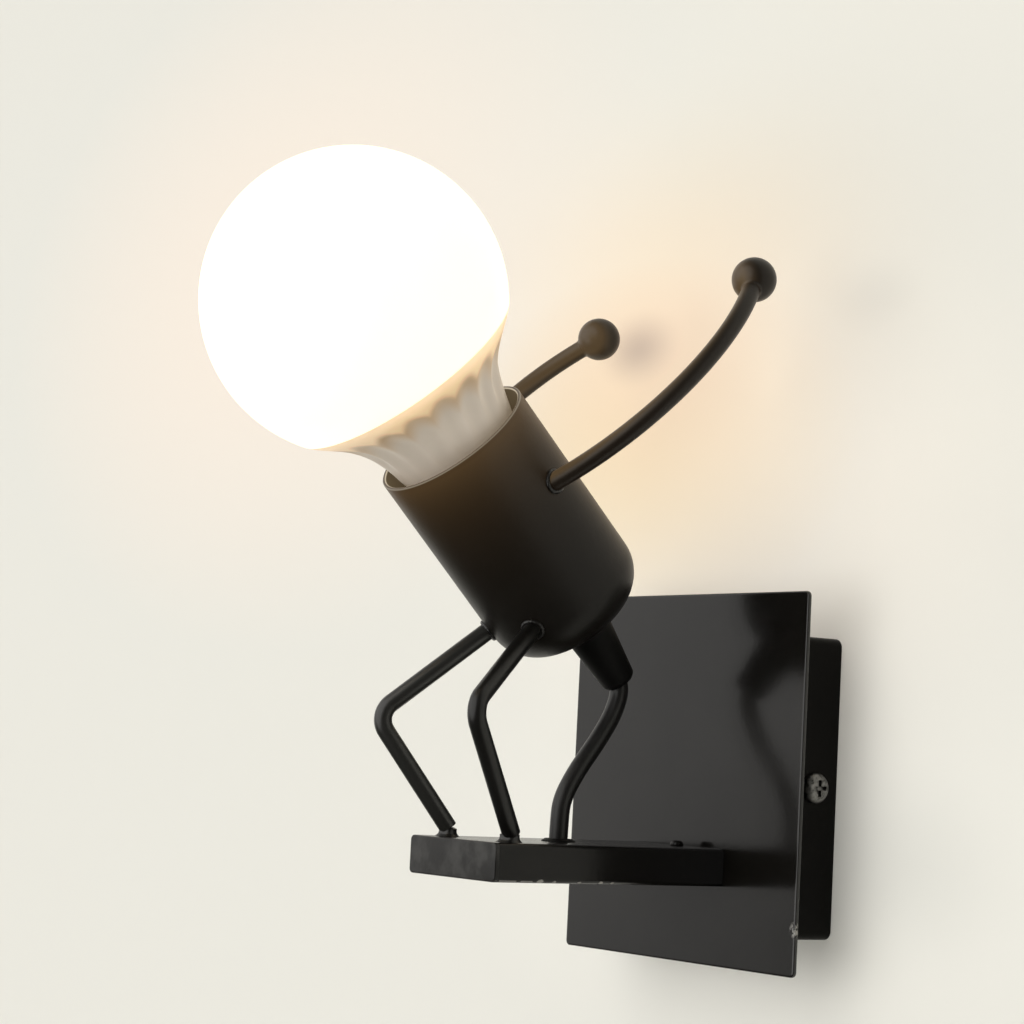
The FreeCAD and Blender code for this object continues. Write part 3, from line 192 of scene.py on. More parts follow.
def add_node(tree, kind, settings=None, inputs=None):
    """Adds a node: its settings first, then its sockets' values or links"""
    made = tree.nodes.new(kind)
    for key, value in (settings or {}).items():
        setattr(made, key, value)
    for key, value in (inputs or {}).items():
        if isinstance(key, str):
            names = [(s.identifier, s.name) for s in made.inputs]
            key = next(i for i, pair in enumerate(names) if key in pair)
        value = getattr(value, "socket", value)
        if isinstance(value, bpy.types.NodeSocket):
            tree.links.new(value, made.inputs[key])
        else:
            made.inputs[key].default_value = value
    return made


def maths(operation, reflected=False):
    """A method that adds one Math node to a field's material"""

    def method(self, *other):
        values = (*other, self) if reflected else (self, *other)
        return self.finish.node("Math", {"operation": operation}, dict(enumerate(values)))

    return method


class Field:
    """A value in a material, on which arithmetic adds Math nodes"""

    def __init__(self, finish, socket):
        self.finish, self.socket = finish, socket

    __add__, __radd__ = maths("ADD"), maths("ADD", True)
    __sub__, __rsub__ = maths("SUBTRACT"), maths("SUBTRACT", True)
    __mul__, __rmul__ = maths("MULTIPLY"), maths("MULTIPLY", True)
    __pow__, __rpow__ = maths("POWER"), maths("POWER", True)
    cosine, root, above = maths("COSINE"), maths("SQRT"), maths("MAXIMUM")

    def ramp(self, low, high):
        """0 up to low, 1 from high, and smooth between"""
        inputs = {"Value": self, "From Min": low, "From Max": high}
        smooth = {"interpolation_type": "SMOOTHSTEP"}
        return self.finish.node("MapRange", smooth, inputs)

    def split(self):
        parts = self.finish.node("SeparateXYZ", {}, {0: self}, None)
        return [Field(self.finish, socket) for socket in parts.outputs]


class Finish:
    """A material, or the world, being put together from nodes"""

    def __init__(self, name, world=False):
        self.made = (bpy.data.worlds if world else bpy.data.materials).new(name)
        self.made.use_nodes = True
        self.tree = self.made.node_tree
        self.tree.nodes.clear()
        self._place = None

    def node(self, kind, settings=None, inputs=None, output=0):
        """Adds a node and gives the field of one output, or the node if output is None"""
        made = add_node(self.tree, "ShaderNode" + kind, settings, inputs)
        return made if output is None else Field(self, made.outputs[output])

    @property
    def place(self):
        if self._place is None:
            self._place = self.node("TexCoord", output="Object")
        return self._place

    def noise(self, scale, detail=2.0, rough=0.5, stretch=None):
        vector = self.place
        if stretch:
            settings = {"operation": "MULTIPLY"}
            vector = self.node("VectorMath", settings, {0: vector, 1: stretch})
        inputs = {"Vector": vector, "Scale": scale, "Detail": detail, "Roughness": rough}
        return self.node("TexNoise", {}, inputs)

    def specks(self, scale):
        """Distance to the middle of the nearest cell"""
        return self.node("TexVoronoi", {}, {"Vector": self.place, "Scale": scale})

    def mix(self, amount, one, two, way="MIX"):
        """Blends colours"""
        inputs = {"Factor_Float": amount, "A_Color": rgba(one), "B_Color": rgba(two)}
        return self.node("Mix", {"data_type": "RGBA", "blend_type": way}, inputs, 2)

    def bump(self, height, distance, strength, normal=None):
        inputs = {"Height": height, "Distance": distance, "Strength": strength}
        if normal is not None:
            inputs["Normal"] = normal
        return self.node("Bump", {}, inputs)

    def distance(self, spot):
        """Distance in metres from a place given in millimetres"""
        inputs = {0: self.place, 1: tuple(c * MM for c in spot)}
        return self.node("VectorMath", {"operation": "DISTANCE"}, inputs, "Value")

    def ray(self, kind):
        return self.node("LightPath", output=f"Is {kind} Ray")

    def surface(self, **inputs):
        """Ends the material in one Principled shader"""
        named = {}
        for key, value in inputs.items():
            label = key.replace("_", " ").title().replace("Ior", "IOR")
            named[label] = rgba(value) if "Color" in label else value
        shader = self.node("BsdfPrincipled", {}, named)
        self.node("OutputMaterial", {}, {"Surface": shader}, None)
        return self.made


def rgba(value):
    return value if isinstance(value, Field) else (*value, 1.0)


def scaled(shade, share, plus=0):
    return tuple(c * share + plus for c in shade)


# Finishes


def colours():
    return bpy.context.scene.lamp_colours


def station(f):
    """Height along the cup's axis above its foot, in millimetres"""
    _, y, z = f.place.split()
    return (z - y - (CUP_FOOT[2] - CUP_FOOT[1]) * MM) * (math.sqrt(0.5) / MM)


def off_axis(f):
    """Distance from the cup's axis, in millimetres"""
    x, y, z = f.place.split()
    across = (y + z - (CUP_FOOT[1] + CUP_FOOT[2]) * MM) * math.sqrt(0.5)
    return (x**2 + across**2).root() * (1 / MM)


def cup_glow(f):
    """The bulb's light on the cup: outside near the mouth, inside, and on the lip"""
    reach, falloff = 51, 6.3
    near = (f.distance(axis_place(GLOBE_MIDDLE)) * (1 / (reach * MM))) ** -falloff
    outside = f.mix(near, BLACK, (0.060, 0.034, 0.013))
    high, off = station(f), off_axis(f)
    hollow = (1 - off.ramp(20.6, 20.7)) * high.ramp(48, 63)
    inside = f.mix(hollow, outside, (0.085, 0.062, 0.034))
    outer = high.ramp(63.55, 63.7) * off.ramp(21.2, 21.3)
    inner = high.ramp(63.6, 63.75) * (1 - off.ramp(20.7, 20.85)) * off.ramp(20.4, 20.5)
    edged = f.mix(outer, inside, (0.19, 0.155, 0.11))
    return f.mix(inner, edged, (0.50, 0.42, 0.30))


def arm_glow(f):
    """The bulb's light on the sides of the arms and hands that face it"""
    facing = f.node("Attribute", {"attribute_name": "facing_globe"}, output="Fac")
    return f.mix(facing, (0.0055, 0.0030, 0.0012), (0.080, 0.051, 0.024))


def leg_glow(_):
    """A little of the wall's light on the left leg"""
    return (0.006, 0.006, 0.005)


def powder_coat(name, gloss, sheen, peel=1.0, chips=None, glow=lambda _: BLACK, haze=0):
    """Black powder coat with orange peel, faint dust and chipped edges. glow paints the
    bulb's light on it as emission, and haze is how much of it is painted grey as a smeared
    reflection, rougher too"""
    f = Finish(name)
    cloud, grain = f.noise(38, 3, 0.6), f.noise(1500, 1)
    dust = (1 - f.specks(420).ramp(0.03, 0.085)) * f.noise(60, 1).ramp(0.52, 0.62)
    tone = f.mix(cloud.ramp(0.3, 0.75), colours().coat, scaled(colours().coat, 1.5))
    tone = f.mix(dust * 0.25, tone, (0.02, 0.019, 0.017))
    rough = gloss + (cloud - 0.5) * 0.10 + (grain - 0.5) * 0.05
    if haze:
        # Painted reflection: grey blotches stand in for a smeared reflection, and are a
        # little rougher
        reflection_smear = f.noise(130, 3, 0.6).ramp(0.38, 0.70) * haze
        tone = f.mix(reflection_smear, tone, (0.075, 0.074, 0.070))
        rough = rough + reflection_smear * 0.2
    height = f.noise(620, 1.5) * 0.7 + grain * 0.3
    normal = f.bump(height, 0.00006 * peel, 0.5)
    if chips:
        mask = chips(f)
        tone = f.mix(mask, tone, colours().bare)
        rough = rough + mask * 0.12
        normal = f.bump(1 - mask, 0.00012, 0.6, normal)
    return f.surface(
        base_color=tone,
        roughness=rough,
        normal=normal,
        specular_ior_level=sheen,
        emission_color=glow(f),
        emission_strength=1.0,
    )


def bar_chips(f):
    """Chips along the near lower edge of the bar, towards its front"""
    edge_x, edge_z, worn_to = 19.7 * MM, -27.2 * MM, -83 * MM
    x, y, z = f.place.split()
    off = ((x - edge_x) ** 2 + (z - edge_z) ** 2).root()
    ragged = f.noise(900, 2, 0.7)
    mask = (1 - off.ramp(0.00015, 0.0004)) * f.noise(260, 2).ramp(0.44, 0.50)
    mask = mask * (1 - y.ramp(worn_to - 0.0005, worn_to + 0.0005)) * 0.7
    for place, size in BAR_CHIPS:
        far = ((y - place * MM) ** 2 * 0.35 + off**2).root() + (ragged - 0.5) * 0.0009
        mask = mask.above(1 - far.ramp(size * 0.5 * MM, size * MM))
    return mask


def plate_chips(f):
    """One ragged chip low on the plate's right edge"""
    spot = 1 - f.distance((50, -21, -36.5)).ramp(0.0008, 0.0026)
    return spot * f.noise(900, 2, 0.7).ramp(0.46, 0.54)


def metal(name, shade, rough, other=None, brushed=(1, 1, 0.05), patch=150):
    """Plated or bare metal with fine drawing lines and uneven plating"""
    f = Finish(name)
    lines = f.noise(900, 2, 0.6, brushed)
    cloud = f.noise(patch, 3, 0.6)
    return f.surface(
        base_color=f.mix(cloud.ramp(0.35, 0.7), shade, other or scaled(shade, 0.7)),
        metallic=1.0,
        roughness=rough + (lines - 0.5) * 0.2 + (cloud - 0.5) * 0.1,
        normal=f.bump(lines, 0.00002, 0.4),
    )


def moulded(name, shade, rough, grain=1800, shine=0.4):
    """Moulded plastic with a fine eroded texture"""
    f = Finish(name)
    cloud, texture = f.noise(70, 2), f.noise(grain, 2, 0.6)
    return f.surface(
        base_color=f.mix(cloud.ramp(0.3, 0.8), shade, scaled(shade, 0.82)),
        roughness=rough + (texture - 0.5) * 0.12 + (cloud - 0.5) * 0.06,
        normal=f.bump(texture, 0.00002, 0.6),
        specular_ior_level=shine,
    )


def sheath(name, shade, stripe=None):
    """Extruded insulation, with drawing marks along it. stripe is a second colour on the
    side that faces EARTH_PLANE, a normal's X and Y and how far the plane is off"""
    f = Finish(name)
    marks = f.noise(2600, 1, 0.6, (1, 0.02, 0.02))
    scuff = f.noise(260, 3, 0.65)
    tone = f.mix(scuff.ramp(0.45, 0.8), shade, scaled(shade, 1.5, 0.001))
    if stripe:
        x_share, y_share, offset = EARTH_PLANE
        x, y, _ = f.place.split()
        side = x * x_share + y * y_share - offset * MM
        tone = f.mix(side.ramp(0.00018, 0.00024), tone, stripe)
    return f.surface(
        base_color=tone,
        roughness=0.38 + (scuff - 0.5) * 0.16,
        normal=f.bump(marks * 0.6 + scuff * 0.4, 0.00003, 0.5),
        specular_ior_level=0.42,
    )


def upper_side(f):
    """0 on the underside of the globe and neck, and 1 from a little higher"""
    return f.place.split()[2].ramp(0.077, 0.088)


def opal_globe(name):
    """Lit opal plastic: white, and warm at its outline and where it meets the neck"""
    f = Finish(name)
    mottle = f.noise(55, 2)
    limb = f.node("LayerWeight", {}, {"Blend": 0.5}, "Facing").ramp(0.7, 1.0) * 4
    lit = (station(f) - (1 - upper_side(f)) - limb).ramp(86.9, 91)
    edge = f.mix(mottle, (0.20, 0.155, 0.075), (0.18, 0.14, 0.065))
    return f.surface(
        base_color=(0.9, 0.86, 0.78),
        roughness=0.32 + (mottle - 0.5) * 0.05,
        emission_color=f.mix(lit, edge, colours().glow),
        emission_strength=3.2,
    )


def bulb_neck(name):
    """Off-white neck. The globe's light through its scalloped top is painted in, and
    painted shade lies in its flutes, under the arches and on its underside
    """
    f = Finish(name)
    high = station(f)
    around = f.node("UVMap").split()[0]
    count = lamp_sizes().flute_count
    wave = (around * (TAU * count) - FLUTE_TURN * count).cosine() * 0.5 + 0.5
    ragged = (f.noise(130, 2) - 0.5) * 1.6
    drop = wave**0.6 * ARCH_RISE + ARCH_LOW - high + ragged
    inside, lower = drop.ramp(-1.8, 1.4), drop.ramp(0.0, 7.0)
    # Painted shade: the neck's underside is darker, and its painted glow dimmer there
    share = upper_side(f) * 0.17 + 0.83
    cloud = f.noise(90, 2)
    # Painted shade: darker in the flutes' hollows, and warm brown just under the arches,
    # fading lower down. Above the arches a warm cream stands in for the globe's light
    # through the plastic
    low = f.mix(wave, colours().neck, scaled(colours().neck, 0.93))
    under = f.mix(lower, (0.68, 0.53, 0.38), low)
    tone = f.mix(inside, (0.80, 0.68, 0.50), under)
    tone = f.mix(cloud.ramp(0.4, 0.9) * 0.2, tone, (0.62, 0.54, 0.46))
    # Painted light through the plastic, as emission: strongest towards the globe, dimmer on
    # the underside and in patches, and only faint below the arches
    shine = f.mix(high.ramp(82, 87), (0.40, 0.25, 0.115), (0.72, 0.48, 0.28))
    shine = f.mix(share**1.6, BLACK, shine)
    shine = f.mix(f.noise(240, 3, 0.7).ramp(0.4, 0.7) * 0.22, shine, (0.36, 0.22, 0.10))
    dim = f.mix(lower, (0.09, 0.05, 0.02), (0.10, 0.08, 0.055))
    return f.surface(
        base_color=f.mix(share, BLACK, tone),
        roughness=0.36 + (cloud - 0.5) * 0.1,
        normal=f.bump(f.noise(1200, 1), 0.00001, 0.4),
        emission_color=f.mix(inside, shine, dim),
        emission_strength=1.0,
    )


def ceramic(name):
    """Unglazed holder ceramic with small pores"""
    f = Finish(name)
    grain = f.noise(900, 3, 0.6)
    # The pores are sunk by the bump and also painted darker, as painted shade in them
    pores = 1 - f.specks(700).ramp(0.04, 0.10)
    tone = f.mix(grain.ramp(0.3, 0.7), (0.80, 0.78, 0.72), (0.72, 0.69, 0.62))
    return f.surface(
        base_color=f.mix(pores * 0.4, tone, (0.35, 0.32, 0.28)),
        roughness=0.55 + (grain - 0.5) * 0.2,
        normal=f.bump(grain - pores * 0.4, 0.00004, 0.6),
    )


def light_chip(name):
    f = Finish(name)
    cloud = f.noise(800, 2)
    tone = f.mix(cloud, (0.85, 0.62, 0.10), (0.92, 0.74, 0.22))
    return f.surface(
        base_color=tone,
        roughness=0.3 + (cloud - 0.5) * 0.1,
        emission_color=tone,
        emission_strength=0.6,
    )


def circuit_board(name, shade, mask):
    """Board with lighter tracks under its mask"""
    f = Finish(name)
    lines = f.node("TexBrick", {}, {"Vector": f.place, "Scale": 260.0}, "Fac")
    return f.surface(
        base_color=f.mix(lines, shade, mask),
        roughness=0.42 + (f.noise(500, 2) - 0.5) * 0.15,
        normal=f.bump(lines, 0.00003, 0.5),
    )


FINISH_MAKERS = {
    "cup_coat": lambda n: powder_coat(n, 0.38, 0.23, glow=cup_glow),
    "arm_coat": lambda n: powder_coat(n, 0.36, 0.26, 0.7, glow=arm_glow),
    "left_leg_coat": lambda n: powder_coat(n, 0.33, 0.5, 0.7, glow=leg_glow),
    "rod_coat": lambda n: powder_coat(n, 0.33, 0.36, 0.7),
    "box_coat": lambda n: powder_coat(n, 0.36, 0.07),
    "bar_coat": lambda n: powder_coat(n, 0.24, 0.22, 0.8, bar_chips),
    "bar_end_coat": lambda n: powder_coat(n, 0.30, 0.26, 0.8, bar_chips, haze=0.38),
    "plate_coat": lambda n: powder_coat(n, 0.15, 0.50, 0.35, plate_chips),
    "weld_coat": lambda n: powder_coat(n, 0.30, 0.45, 1.6),
    "zinc": lambda n: metal(n, (0.62, 0.61, 0.58), 0.34, (0.50, 0.49, 0.42)),
    "worn_screw": lambda n: metal(
        n, (0.24, 0.235, 0.225), 0.42, (0.03, 0.03, 0.028), (0.1, 1, 1), 700
    ),
    "brass": lambda n: metal(n, (0.80, 0.58, 0.26), 0.28, (0.62, 0.42, 0.17)),
    "cap_metal": lambda n: metal(n, (0.72, 0.71, 0.68), 0.25),
    "solder": lambda n: metal(n, (0.66, 0.66, 0.65), 0.30),
    "grip_plastic": lambda n: moulded(n, (0.0035, 0.0033, 0.003), 0.55, shine=0.14),
    "block_plastic": lambda n: moulded(n, (0.78, 0.77, 0.71), 0.35, 900),
    "cap_insulator": lambda n: moulded(n, (0.02, 0.02, 0.025), 0.25, 400),
    "cable_sheath": lambda n: sheath(n, colours().cable),
    "live_sheath": lambda n: sheath(n, (0.16, 0.055, 0.022)),
    "neutral_sheath": lambda n: sheath(n, (0.02, 0.09, 0.42)),
    "earth_sheath": lambda n: sheath(n, (0.62, 0.55, 0.03), (0.03, 0.24, 0.05)),
    "holder_ceramic": ceramic,
    "opal": opal_globe,
    "neck": bulb_neck,
    "board_white": lambda n: circuit_board(n, (0.80, 0.80, 0.78), (0.7, 0.68, 0.62)),
    "board_green": lambda n: circuit_board(n, (0.02, 0.16, 0.05), (0.03, 0.28, 0.10)),
    "light_chip": light_chip,
}


def finish(name):
    return bpy.data.materials.get(name) or FINISH_MAKERS[name](name)


# Meshes


def cup_frame():
    """The cup's foot, with Z along its axis to the mouth, in millimetres"""
    return Matrix.Translation(CUP_FOOT) @ Matrix.Rotation(math.pi / 4, 4, "X")


def axis_place(height):
    return cup_frame() @ Vector((0, 0, height))


def placed(name, data):
    """A new object in the scene"""
    made = bpy.data.objects.new(name, data)
    bpy.context.collection.objects.link(made)
    return made


def evaluated_mesh(piece):
    """What an object's spline or modifiers give, as a plain mesh"""
    bpy.context.view_layer.update()
    evaluated = piece.evaluated_get(bpy.context.evaluated_depsgraph_get())
    return bpy.data.meshes.new_from_object(evaluated)


def shade_smooth(mesh, angle=38):
    mesh.polygons.foreach_set("use_smooth", [True] * len(mesh.polygons))
    mesh.set_sharp_from_angle(angle=math.radians(angle))


def solid(name, points, faces, material, uvs=None, angle=38):
    """A mesh object from millimetres, with its faces turned outwards"""
    mesh = bpy.data.meshes.new(name)
    mesh.from_pydata([Vector(p) * MM for p in points], [], faces)
    if uvs:
        layer = mesh.uv_layers.new(name="UVMap")
        layer.data.foreach_set("uv", [c for face in uvs for uv in face for c in uv])
    work = bmesh.new()
    work.from_mesh(mesh)
    bmesh.ops.recalc_face_normals(work, faces=work.faces)
    work.to_mesh(mesh)
    work.free()
    mesh.materials.append(finish(material))
    shade_smooth(mesh, angle)
    return placed(name, mesh)


def joined(name, pieces):
    """Several meshes of one material as one object"""
    work = bmesh.new()
    for piece in pieces:
        work.from_mesh(piece.data)
    mesh = pieces[0].data.copy()
    mesh.name = name
    work.to_mesh(mesh)
    work.free()
    for piece in pieces:
        bpy.data.objects.remove(piece)
    shade_smooth(mesh)
    return placed(name, mesh)


def seat(piece, slot, *nodes, body="lamp"):
    """Says what a new piece rides on and which nodes it replaces. slot is not used"""
    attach(piece, body)
    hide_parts(*nodes)


def dress(material, *nodes):
    """Gives carried-over nodes their material"""
    for node in nodes:
        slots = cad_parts[node].data.materials
        slots.clear()
        slots.append(finish(material))


def eased(corners, radii, steps=3):
    """Rounds a closed outline's corners, each by its own radius"""
    made = []
    for i, (here, radius) in enumerate(zip(corners, radii)):
        if radius == 0:
            made.append(tuple(here))
            continue
        here = Vector(here)
        before = Vector(corners[i - 1]) - here
        after = Vector(corners[(i + 1) % len(corners)]) - here
        back = min(radius, 0.45 * before.length, 0.45 * after.length)
        start, end = here + before.normalized() * back, here + after.normalized() * back
        for k in range(steps + 1):
            t = k / steps
            spot = start * (1 - t) ** 2 + here * (2 * t * (1 - t)) + end * t**2
            made.append(tuple(spot))
    return made


def arc(centre, radius, first, last, steps):
    """Points of an arc in a half section; angles in degrees from the radius axis"""
    angles = [math.radians(first + (last - first) * k / steps) for k in range(steps + 1)]
    x, z = centre
    return [(x + radius * math.cos(a), z + radius * math.sin(a)) for a in angles]


def turned(name, section, material, matrix=None, sides=96, warp=None, angle=38):
    """A round piece from its half section of (radius, height) pairs"""
    matrix = matrix or cup_frame()
    on_axis = [radius < 1e-6 for radius, _ in section]
    points, rings, far = [], [], [0.0]
    for (r0, z0), (r1, z1) in zip(section, section[1:]):
        far.append(far[-1] + math.hypot(r1 - r0, z1 - z0))
    for (radius, height), pole in zip(section, on_axis):
        if pole:
            rings.append([len(points)] * sides)
            points.append(matrix @ Vector((0, 0, height)))
            continue
        rings.append(list(range(len(points), len(points) + sides)))
        for k in range(sides):
            turn = TAU * k / sides
            out = warp(radius, height, turn) if warp else radius
            spot = (out * math.cos(turn), out * math.sin(turn), height)
            points.append(matrix @ Vector(spot))
    pairs = list(zip(range(len(rings)), range(1, len(rings))))
    if not on_axis[0] and not on_axis[-1]:
        pairs.append((len(rings) - 1, 0))
    faces, uvs = [], []
    for low, high in pairs:
        if on_axis[low] and on_axis[high]:
            continue
        for k in range(sides):
            after = (k + 1) % sides
            ring = [
                (rings[low][k], k, low),
                (rings[low][after], k + 1, low),
                (rings[high][after], k + 1, high),
                (rings[high][k], k, high),
            ]
            if on_axis[low]:
                ring.pop(1)
            elif on_axis[high]:
                ring.pop(2)
            faces.append([corner[0] for corner in ring])
            uvs.append([(u / sides, far[v] / 100) for _, u, v in ring])
    return solid(name, points, faces, material, uvs, angle)


def rounded_square(width, height, radius, steps):
    """Points round a rectangle with round corners, about its middle"""
    radius = max(radius, 0.01)
    w, t = width / 2 - radius, height / 2 - radius
    made = []
    for corner, (x, z) in enumerate(((w, t), (-w, t), (-w, -t), (w, -t))):
        for k in range(steps + 1):
            turn = math.pi / 2 * (corner + k / steps)
            made.append((x + radius * math.cos(turn), z + radius * math.sin(turn)))
    return made


def pressed(name, outline, levels, material, rise, angle=60, steps=5):
    """A piece of one rounded outline (width, height, radius), lofted through levels
    of (inset, distance from the wall), with a flat face at each end"""
    width, height, radius = outline
    points, faces = [], []
    for inset, out in levels:
        inner = (width - 2 * inset, height - 2 * inset, radius - inset)
        points += [(x, -out, z + rise) for x, z in rounded_square(*inner, steps)]
    count = len(points) // len(levels)
    for low in range(0, len(points) - count, count):
        high = low + count
        for k in range(count):
            after = (k + 1) % count
            faces.append([low + k, low + after, high + after, high + k])
    faces.append(list(range(count)))
    faces.append(list(range(len(points) - count, len(points))))
    return solid(name, points, faces, material, angle=angle)


def smooth_path(points):
    """A smooth line guided by a few points, as one open spline follows them"""
    data = bpy.data.curves.new("guide", "CURVE")
    data.dimensions = "3D"
    data.resolution_u = 24
    spline = data.splines.new("NURBS")
    spline.points.add(len(points) - 1)
    for point, spot in zip(spline.points, points):
        point.co = (*spot, 1)
    spline.order_u = 3
    spline.use_endpoint_u = True
    guide = placed("guide", data)
    mesh = evaluated_mesh(guide)
    made = [v.co.copy() for v in mesh.vertices]
    bpy.data.objects.remove(guide)
    bpy.data.meshes.remove(mesh)
    return made


def soften(node, material, slot, width):
    """Replaces a node of the lamp by a copy of its mesh with its doubles merged and its
    sharp edges eased. Flat faces are shaded flat, eased edges and round walls smooth"""
    work = bmesh.new()
    work.from_mesh(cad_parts[node].data)
    bmesh.ops.remove_doubles(work, verts=work.verts, dist=1e-6)
    flat, sharp_from = math.radians(0.5), math.radians(40)
    bmesh.ops.dissolve_limit(work, angle_limit=flat, verts=work.verts, edges=work.edges)
    sharp = [
        e
        for e in work.edges
        if len(e.link_faces) == 2 and e.calc_face_angle(0) > sharp_from
    ]
    mark = work.faces.layers.int.new("eased")
    bevel = {"offset": width * MM, "segments": 2, "profile": 0.6, "affect": "EDGES"}
    eased_faces = bmesh.ops.bevel(work, geom=sharp, clamp_overlap=True, **bevel)["faces"]
    for face in eased_faces:
        face[mark] = 1
    bmesh.ops.triangulate(work, faces=[f for f in work.faces if len(f.verts) > 4])
    for face in work.faces:
        plain = [e for e in face.edges if not any(f[mark] for f in e.link_faces)]
        bends = [math.degrees(e.calc_face_angle(0)) for e in plain]
        face.smooth = bool(face[mark]) or any(1 < bend < 35 for bend in bends)
    work.faces.layers.int.remove(mark)
    mesh = bpy.data.meshes.new(node + "_eased")
    work.to_mesh(mesh)
    work.free()
    mesh.materials.append(finish(material))
    mesh.set_sharp_from_angle(angle=math.radians(60))
    seat(placed(node + "_eased", mesh), slot, node)


# Geometry Nodes


class Recipe:
    """A Geometry Nodes tree with named inputs"""

    def __init__(self, name, inputs):
        self.tree = bpy.data.node_groups.new(name, "GeometryNodeTree")
        self.socket("Geometry", "Geometry")
        self.names = {label: self.socket(label, *rest) for label, rest in inputs.items()}
        self.socket("Geometry", "Geometry", way="OUTPUT")
        self.source = self.tree.nodes.new("NodeGroupInput")
        self.result = self.tree.nodes.new("NodeGroupOutput")

    def socket(self, label, kind, default=None, way="INPUT"):
        """Adds a socket to the tree and gives its identifier"""
        kind = "NodeSocket" + kind
        made = self.tree.interface.new_socket(label, in_out=way, socket_type=kind)
        if default is not None:
            made.default_value = default
        return made.identifier

    def given(self, label):
        return self.source.outputs[label]

    def node(self, kind, inputs=None, settings=None, output=0):
        """Adds a node and gives one of its outputs"""
        made = add_node(self.tree, "GeometryNode" + kind, settings, inputs)
        return made.outputs[output]

    def finish(self, geometry):
        """Realizes what the tree made and gives it its material"""
        real = self.node("RealizeInstances", {"Geometry": geometry})
        inputs = {"Geometry": real, "Material": self.given("Material")}
        self.tree.links.new(self.node("SetMaterial", inputs), self.result.inputs[0])

    def make(self, name, mesh, values):
        """Runs the tree on a mesh and returns the result as a plain object"""
        made = placed(name, mesh)
        modifier = made.modifiers.new("recipe", "NODES")
        modifier.node_group = self.tree
        for label, value in values.items():
            modifier[self.names[label]] = value
        result = evaluated_mesh(made)
        made.modifiers.clear()
        made.data = result
        result.name = name
        shade_smooth(result)
        return made


def rod_recipe():
    """A line of points becomes a round rod with rounded bends"""
    inputs = {
        "Rod radius": ("Float", 0.0025),
        "Bend radius": ("Float", 0.0),
        "Bend steps": ("Int", 14),
        "Sides": ("Int", 40),
        "Material": ("Material", None),
    }
    recipe = Recipe("bent rod", inputs)
    given, node = recipe.given, recipe.node
    named = {"data_type": "FLOAT"}
    swell = node("InputNamedAttribute", {"Name": "swell"}, named, "Attribute")
    line = node("MeshToCurve", {"Mesh": given("Geometry")})
    bends = {"Count": given("Bend steps"), "Radius": given("Bend radius")}
    bent = node("FilletCurve", {"Curve": line, **bends}, {"mode": "POLY"})
    circle = {"Resolution": given("Sides"), "Radius": given("Rod radius")}
    ring = node("CurvePrimitiveCircle", circle)
    inputs = {"Curve": bent, "Profile Curve": ring, "Scale": swell, "Fill Caps": True}
    recipe.finish(node("CurveToMesh", inputs))
    return recipe


def ring_recipe():
    """A small piece is repeated round a circle, each copy facing outwards"""
    inputs = {
        "Count": ("Int", 12),
        "Ring radius": ("Float", 0.02),
        "Material": ("Material", None),
    }
    recipe = Recipe("ring of pieces", inputs)
    given, node = recipe.given, recipe.node
    circle = {"Vertices": given("Count"), "Radius": given("Ring radius")}
    outwards = {"Vector": node("InputPosition")}
    settings = {"axis": "X"}
    kind = "FunctionNodeAlignRotationToVector"
    turn = add_node(recipe.tree, kind, settings, outwards).outputs[0]
    copies = {"Points": node("MeshCircle", circle), "Instance": given("Geometry")}
    recipe.finish(node("InstanceOnPoints", {**copies, "Rotation": turn}))
    return recipe


def polyline(points, swell=None):
    """A line of edges; swell gives each point's share of the rod's radius, and closes it"""
    count = len(points)
    mesh = bpy.data.meshes.new("line")
    edges = [(k, (k + 1) % count) for k in range(count if swell else count - 1)]
    mesh.from_pydata([Vector(p) * MM for p in points], edges, [])
    shares = mesh.attributes.new("swell", "FLOAT", "POINT")
    shares.data.foreach_set("value", swell or [1.0] * count)
    return mesh


def rod(name, points, radius, bend, material, sides=40, swell=None):
    """A rod through points, with its end edges eased"""
    values = {
        "Rod radius": radius * MM,
        "Bend radius": bend * MM,
        "Bend steps": 14 if bend else 1,
        "Sides": sides,
        "Material": finish(material),
    }
    made = rod_recipe().make(name, polyline(points, swell), values)
    work = bmesh.new()
    work.from_mesh(made.data)
    bmesh.ops.remove_doubles(work, verts=work.verts, dist=1e-7)
    rims = [e for e in work.edges if e.calc_face_angle(0) > math.radians(60)]
    bevel = {"offset": 0.3 * MM, "segments": 3, "profile": 0.5, "affect": "EDGES"}
    bmesh.ops.bevel(work, geom=rims, **bevel)
    bmesh.ops.recalc_face_normals(work, faces=work.faces)
    work.to_mesh(made.data)
    work.free()
    shade_smooth(made.data)
    return made


# The figure's places


def on_cup(turn, height):
    """A place on the cup's wall, turned from its right side towards its back"""
    radius, a = lamp_sizes().cup_radius, math.radians(turn)
    return cup_frame() @ Vector((radius * math.cos(a), radius * math.sin(a), height))


def cup_gap(spot):
    """How far a place is outside the cup's outer form"""
    radius, bend = lamp_sizes().cup_radius, lamp_sizes().cup_round
    local = cup_frame().inverted() @ spot
    out = math.hypot(local.x, local.y)
    if local.z > bend:
        return out - radius
    return math.hypot(max(out - (radius - bend), 0), bend - local.z) - bend


def leg_points(side):
    """Where a leg's hip, knee and foot are"""
    sizes = lamp_sizes()
    hip = on_cup(-90 + side * HIP_TURN, HIP_HEIGHT)
    knee = Vector((side * KNEE_OUT, KNEE_FRONT, KNEE_HEIGHT[side]))
    front = sizes.box_depth + sizes.plate_thick + sizes.bar_length
    bar_top = -sizes.bar_drop + sizes.bar_height / 2
    foot = Vector((side * FOOT_OUT, FOOT_BACK - front, bar_top + FOOT_LIFT))
    return hip, knee, foot


